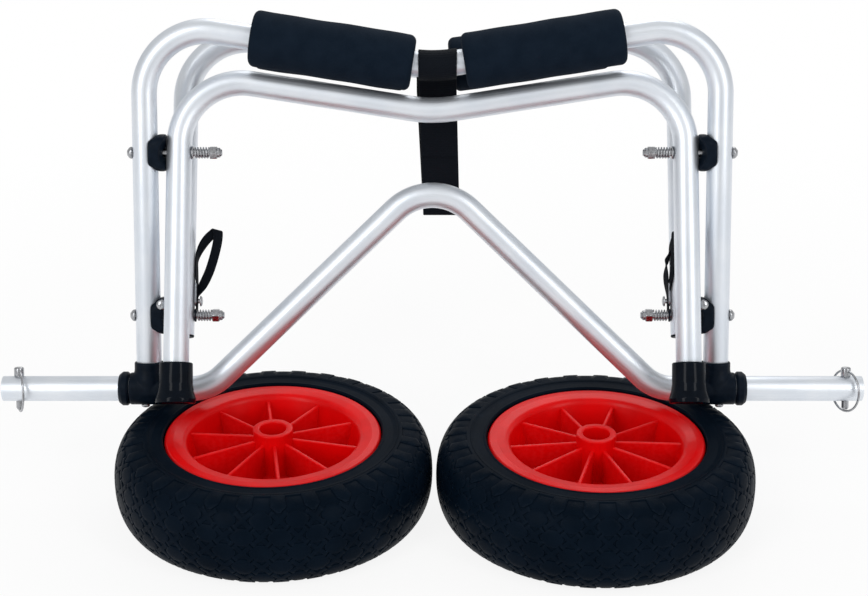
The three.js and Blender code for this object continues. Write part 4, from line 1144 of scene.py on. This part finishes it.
def rimShape(phase):
    middle = wheelWidth / 2
    upper = [(radius, middle + height, fillet) for radius, height, fillet in rim["section"]]
    lower = [(radius, middle - height, fillet) for radius, height, fillet in rim["section"]][::-1]
    parts = [turnRounded(upper + lower, 192, steps=7)]
    bore, hub, start, end = rim["bore"], rim["hub"], rim["hubFrom"], rim["hubTo"]
    parts.append(turnRounded([(bore, start, 1.0), (hub, start, 1.0), (hub, end, 1.0), (bore, end, 1.2)], 96))
    low, high, drop = rim["ribFrom"], rim["ribTo"], rim["ribDrop"]
    outline = roundCorners([(rim["ribInner"], low, 0.3), (rim["ribOuter"], low + drop, 1.2),
                            (rim["ribOuter"], high - drop, 1.2), (rim["ribInner"], high, 0.3)], closed=True)
    plank = plateShape(outline, rim["ribThickness"], 0.7)
    upright = Matrix(((1, 0, 0, 0), (0, 0, 1, -rim["ribThickness"] / 2), (0, 1, 0, 0), (0, 0, 0, 1)))
    for i in range(rim["ribs"]):
        turn = Matrix.Rotation(math.radians(phase + 360 * i / rim["ribs"]), 4, "Z")
        parts.append(moveShape(plank, turn @ upright))
    return joinShapes(parts)


# Tyres: the tread is drawn flat for one pitch, cut into triangles, wrapped on the section and repeated
tyre = {
    "radius": 132, "depth": 22.3, "roundness": 2.3, "edge": 53.0, "pitches": 28, "cell": 13.5,
    "fill": 3.6, "levels": [(-0.2, 0.0), (0.0, -0.1), (0.25, -0.75)],  # distance from a block's edge, height
    "ringStart": 50.6, "columns": 8, "clear": (-1.1, 1.3),  # no fill points this near a block's edge
    "sidewall": [(104.6, 36.2, 2), (99.6, 35.2, 3), (93.4, 35.4, 1.5), (91.4, 36.0, 0.7), (90.4, 34.6, 0.8),
                 (90.6, 28.8, 0.5), (82.3, 28.4, 0.5)],  # from the shoulder in to the bead
}
tread = {
    "pad": [(9.4, 1.7), (3.4, 7.2)],  # two corners of a quarter of an octagonal pad
    "armWaist": 1.85, "armEnd": 2.15, "armStep": 6.6, "armLength": 9.4,
    "lug": [(6.9, 53.6), (6.9, 37.6), (1.5, 32.6)],
}


def tyreSection(edge):
    angles = np.linspace(0, math.pi / 2, 2001)
    power = 2 / tyre["roundness"]
    radii = tyre["radius"] - tyre["depth"] * (1 - np.cos(angles) ** power)
    heights = wheelWidth / 2 * np.sin(angles) ** power
    radii, heights = np.append(radii, radii[-1] - 8), np.append(heights, heights[-1])
    along = np.concatenate([[0], np.cumsum(np.hypot(np.diff(radii), np.diff(heights)))])
    distance = np.abs(edge)
    reach, ahead, behind = [
        np.column_stack([np.interp(place, along, radii), np.interp(place, along, heights)])
        for place in (distance, distance + 0.4, distance - 0.4)
    ]
    slope = unitRows(ahead - behind)
    side = np.where(edge < 0, -1.0, 1.0)
    normal = np.column_stack([slope[:, 1], -slope[:, 0] * side])
    return np.column_stack([reach[:, 0], wheelWidth / 2 + reach[:, 1] * side]), normal


def offsetOutline(outline, distance):
    outline = np.array(outline, float)
    edges = unitRows(np.roll(outline, -1, 0) - outline)
    normals = np.column_stack([edges[:, 1], -edges[:, 0]])
    before = np.roll(normals, 1, 0)
    mitre = (normals + before) / (1 + np.sum(normals * before, axis=1))[:, None]
    return outline + mitre * distance


def blockDistance(points, outlines):
    nearest = np.full(len(points), 1e9)
    for outline in outlines:
        outline = np.array(outline)
        following = np.roll(outline, -1, 0)
        span = following - outline
        offset = points[:, None] - outline[None]
        share = np.clip(np.sum(offset * span, 2) / np.sum(span * span, 1), 0, 1)
        away = np.linalg.norm(offset - share[..., None] * span, axis=2).min(1)
        crosses = (outline[:, 1] > points[:, 1:2]) != (following[:, 1] > points[:, 1:2])
        rise = np.where(span[:, 1] == 0, 1e-9, span[:, 1])
        left = points[:, :1] < outline[:, 0] + (points[:, 1:2] - outline[:, 1]) * span[:, 0] / rise
        inside = (crosses & left).sum(1) % 2 == 1
        nearest = np.minimum(nearest, np.where(inside, -away, away))
    return nearest


# Four-armed block: its arms run along the cell's diagonals and step out wider at their ends
def crossOutline(stepX, stepY):
    slant = math.atan2(stepY, stepX)
    result = []
    arms = [slant, math.pi - slant, math.pi + slant, -slant]
    step, waist, end = tread["armStep"], tread["armWaist"], tread["armEnd"]
    for i, arm in enumerate(arms):
        along = np.array((math.cos(arm), math.sin(arm)))
        across = np.array((-along[1], along[0]))
        side = [(step, waist), (step + 0.5, end), (tread["armLength"], end)]
        for length, half in [(length, -half) for length, half in side] + side[::-1]:
            result.append(tuple(along * length + across * half))
        following = arms[(i + 1) % 4]
        opening = ((following - arm) % (2 * math.pi)) / 2
        between = (arm + opening) % (2 * math.pi)
        notch = waist / math.sin(opening)
        result.append((notch * math.cos(between), notch * math.sin(between)))
    return result


def treadOutlines(cellLength):
    (padX, padY), (topX, topY) = tread["pad"]
    pad = [(padX, -padY), (padX, padY), (topX, topY), (-topX, topY), (-padX, padY), (-padX, -padY),
           (-topX, -topY), (topX, -topY)]
    cross = crossOutline(cellLength, tyre["cell"])
    lug = [(-x, y) for x, y in tread["lug"]]
    lug = [*lug, *tread["lug"][::-1]]
    outlines = []
    for column in range(-1, 4):
        for row in range(-2, 3):
            block = pad if (column + row) % 2 == 0 else cross
            outlines.append([(x + column * cellLength, y + row * tyre["cell"]) for x, y in block])
        if column % 2:  # the lugs stand over the crosses of the outer rows
            for side in (1, -1):
                placed = [(x + column * cellLength, y * side) for x, y in lug]
                outlines.append(placed if side > 0 else placed[::-1])
    return outlines


def tyreShape():
    pitch = 2 * math.pi * tyre["radius"] / tyre["pitches"]
    outlines = [outline if signedArea(outline) > 0 else outline[::-1] for outline in treadOutlines(pitch / 2)]
    edge, ring = tyre["edge"], tyre["ringStart"]
    points, edges = [], []

    def addLoop(loopPoints, closed=True):
        start = len(points)
        points.extend(Vector(point) for point in loopPoints)
        count = len(loopPoints)
        edges.extend((start + i, start + (i + 1) % count) for i in range(count if closed else count - 1))

    columns = tyre["columns"]
    for distance, _ in tyre["levels"]:
        for outline in outlines:
            addLoop(offsetOutline(outline, distance))
        for side in (-1, 1):
            addLoop([(0, side * (ring - distance)), (pitch, side * (ring - distance))], closed=False)
    for along in (0, pitch):
        addLoop([(along, -edge), (along, edge)], closed=False)
    for side in (-1, 1):
        addLoop([(pitch * i / columns, side * edge) for i in range(columns + 1)], closed=False)

    def distances(places):
        away = blockDistance(places, outlines)
        return np.minimum(away, ring - np.abs(places[:, 1]))

    rows = round(2 * edge / tyre["fill"])
    extra = np.array([(pitch * i / columns, -edge + 2 * edge * j / rows)
                      for i in range(columns + 1) for j in range(1, rows)])
    away = distances(extra)
    free = (away < tyre["clear"][0]) | (away > tyre["clear"][1])
    points.extend(Vector(point) for point in extra[free])
    flat, _, triangles, *_ = delaunay_2d_cdt(points, edges, [], 0, 1e-4)
    flat = np.array([point[:] for point in flat])
    middles = flat[np.array(triangles)].mean(1)
    inside = (middles[:, 0] > 0) & (middles[:, 0] < pitch) & (np.abs(middles[:, 1]) < edge)
    triangles = np.array(triangles)[inside]
    used, triangles = np.unique(triangles, return_inverse=True)
    flat, triangles = flat[used], triangles.reshape(-1, 3)
    levels = np.array(tyre["levels"])
    height = np.interp(distances(flat), levels[:, 0], levels[:, 1])
    section, normal = tyreSection(flat[:, 1])
    placed = section + normal * height[:, None]
    shapes = []
    for i in range(tyre["pitches"]):
        angle = (flat[:, 0] + pitch * i) / tyre["radius"]
        around = np.column_stack([placed[:, 0] * np.cos(angle), placed[:, 0] * np.sin(angle), placed[:, 1]])
        shapes.append(makeShape(around, [tuple(map(int, face)) for face in triangles]))
    print("  one pitch of tread has", len(triangles), "triangles")
    lip, _ = tyreSection(np.array([edge]))
    start = float(lip[0, 0])
    half = wheelWidth / 2
    sidewall = [(start, half, 0), (start - 1.0, half - 0.5, 0.3), (start - 2.0, half - 0.2, 0.3)]
    rowsUp = roundCorners(sidewall + tyre["sidewall"], closed=False, steps=5)
    rows = [(radius, half + height) for radius, height in rowsUp]
    rows += [(radius, half - height) for radius, height in rowsUp[::-1]]
    shapes.append(turnShape(rows, tyre["pitches"] * columns))
    return joinShapes(shapes)


def signedArea(outline):
    outline = np.array(outline)
    after = np.roll(outline, -1, 0)
    return float(np.sum(outline[:, 0] * after[:, 1] - outline[:, 1] * after[:, 0]))


tyreSkin = tyreShape()
for side in sideSigns:
    centre = Matrix.Translation(jointPlaces[f"{side}_wheel_spin"])
    placePiece(f"{side}_rubber_tyre", tyreSkin, centre, f"{side}_wheel", tyreRubber, [f"{side}_tyre"], 40,
               weld=0.00003)
    placePiece(f"{side}_spoked_rim", rimShape(rim["phase"][side]), centre, f"{side}_wheel", rimPlastic,
               [f"{side}_rim"], 40)
print("wheels made")

# Studio: pale floor, white backdrop, three soft lamps
studio = {
    "floorSize": 12.0, "floorColour": (0.88, 0.88, 0.88, 1), "worldStrength": 0.6,
    "paper": (0.3, 1.1, 0.88),  # where the floor turns white, from and to in metres, and its share before
    "lamps": [  # name, place, target, size, watts
        ("keyLamp", (-1.5, -1.9, 1.6), (0, 0, 0.15), (0.75, 2.4), 24),
        ("fillLamp", (1.7, -1.6, 1.5), (0, 0, 0.2), (0.6, 2.2), 17),
        ("backLamp", (0.3, 1.9, 2.0), (0, 0, 0.2), (1.4, 1.4), 16),
    ],
}


# Swaps "plain" for white where "seen" says so, and ends the tree there
def whiten(tree, plain, whiteKind, seen, outputKind):
    bright = addNode(tree, whiteKind, {"Color": white, "Strength": 1.0})
    mixed = addNode(tree, "ShaderNodeMixShader", {0: seen, 1: plain.outputs[0], 2: bright.outputs[0]})
    tree.links.new(mixed.outputs[0], addNode(tree, outputKind).inputs["Surface"])


def makeFloor():
    half = studio["floorSize"] / 2
    mesh = bpy.data.meshes.new("floor")
    corners = [(-half, -half, 0), (half, -half, 0), (half, half, 0), (-half, half, 0)]
    mesh.from_pydata(corners, [], [(0, 1, 2, 3)])
    floor = linkObject("floor", mesh)
    floor.location.z = -0.0002
    material = bpy.data.materials.new("floorPaper")
    material.use_nodes = True
    tree = material.node_tree
    tree.nodes.clear()
    paper = addNode(tree, "ShaderNodeBsdfDiffuse", {"Color": studio["floorColour"]})
    light = addNode(tree, "ShaderNodeLightPath").outputs
    seen = math2(tree, "ADD", light["Is Camera Ray"], light["Is Glossy Ray"], clamp=True)
    seen = math2(tree, "MAXIMUM", seen, light["Is Transmission Ray"])
    place = addNode(tree, "ShaderNodeTexCoord").outputs["Object"]
    distance = addNode(tree, "ShaderNodeVectorMath", {0: place}, operation="LENGTH").outputs["Value"]
    start, end, share = studio["paper"]
    far = mapRange(tree, distance, start, end, share, 1.0, "SMOOTHSTEP")
    seen = math2(tree, "MULTIPLY", seen, far)
    whiten(tree, paper, "ShaderNodeEmission", seen, "ShaderNodeOutputMaterial")
    mesh.materials.append(material)


def makeWorld():
    world = bpy.data.worlds.new("studioWorld")
    world.use_nodes = True
    bpy.context.scene.world = world
    tree = world.node_tree
    tree.nodes.clear()
    dome = addNode(tree, "ShaderNodeBackground", {"Color": white, "Strength": studio["worldStrength"]})
    light = addNode(tree, "ShaderNodeLightPath").outputs
    seen = math2(tree, "ADD", light["Is Camera Ray"], light["Is Transmission Ray"], clamp=True)
    whiten(tree, dome, "ShaderNodeBackground", seen, "ShaderNodeOutputWorld")


def makeLamps():
    for name, place, target, size, watts in studio["lamps"]:
        data = bpy.data.lights.new(name, "AREA")
        data.shape = "RECTANGLE"
        data.size, data.size_y = size
        data.energy = watts
        lamp = linkObject(name, data)
        lamp.location = place
        lamp.rotation_euler = (Vector(target) - Vector(place)).to_track_quat("-Z", "Y").to_euler()


makeFloor()
makeWorld()
makeLamps()
print("studio lit")
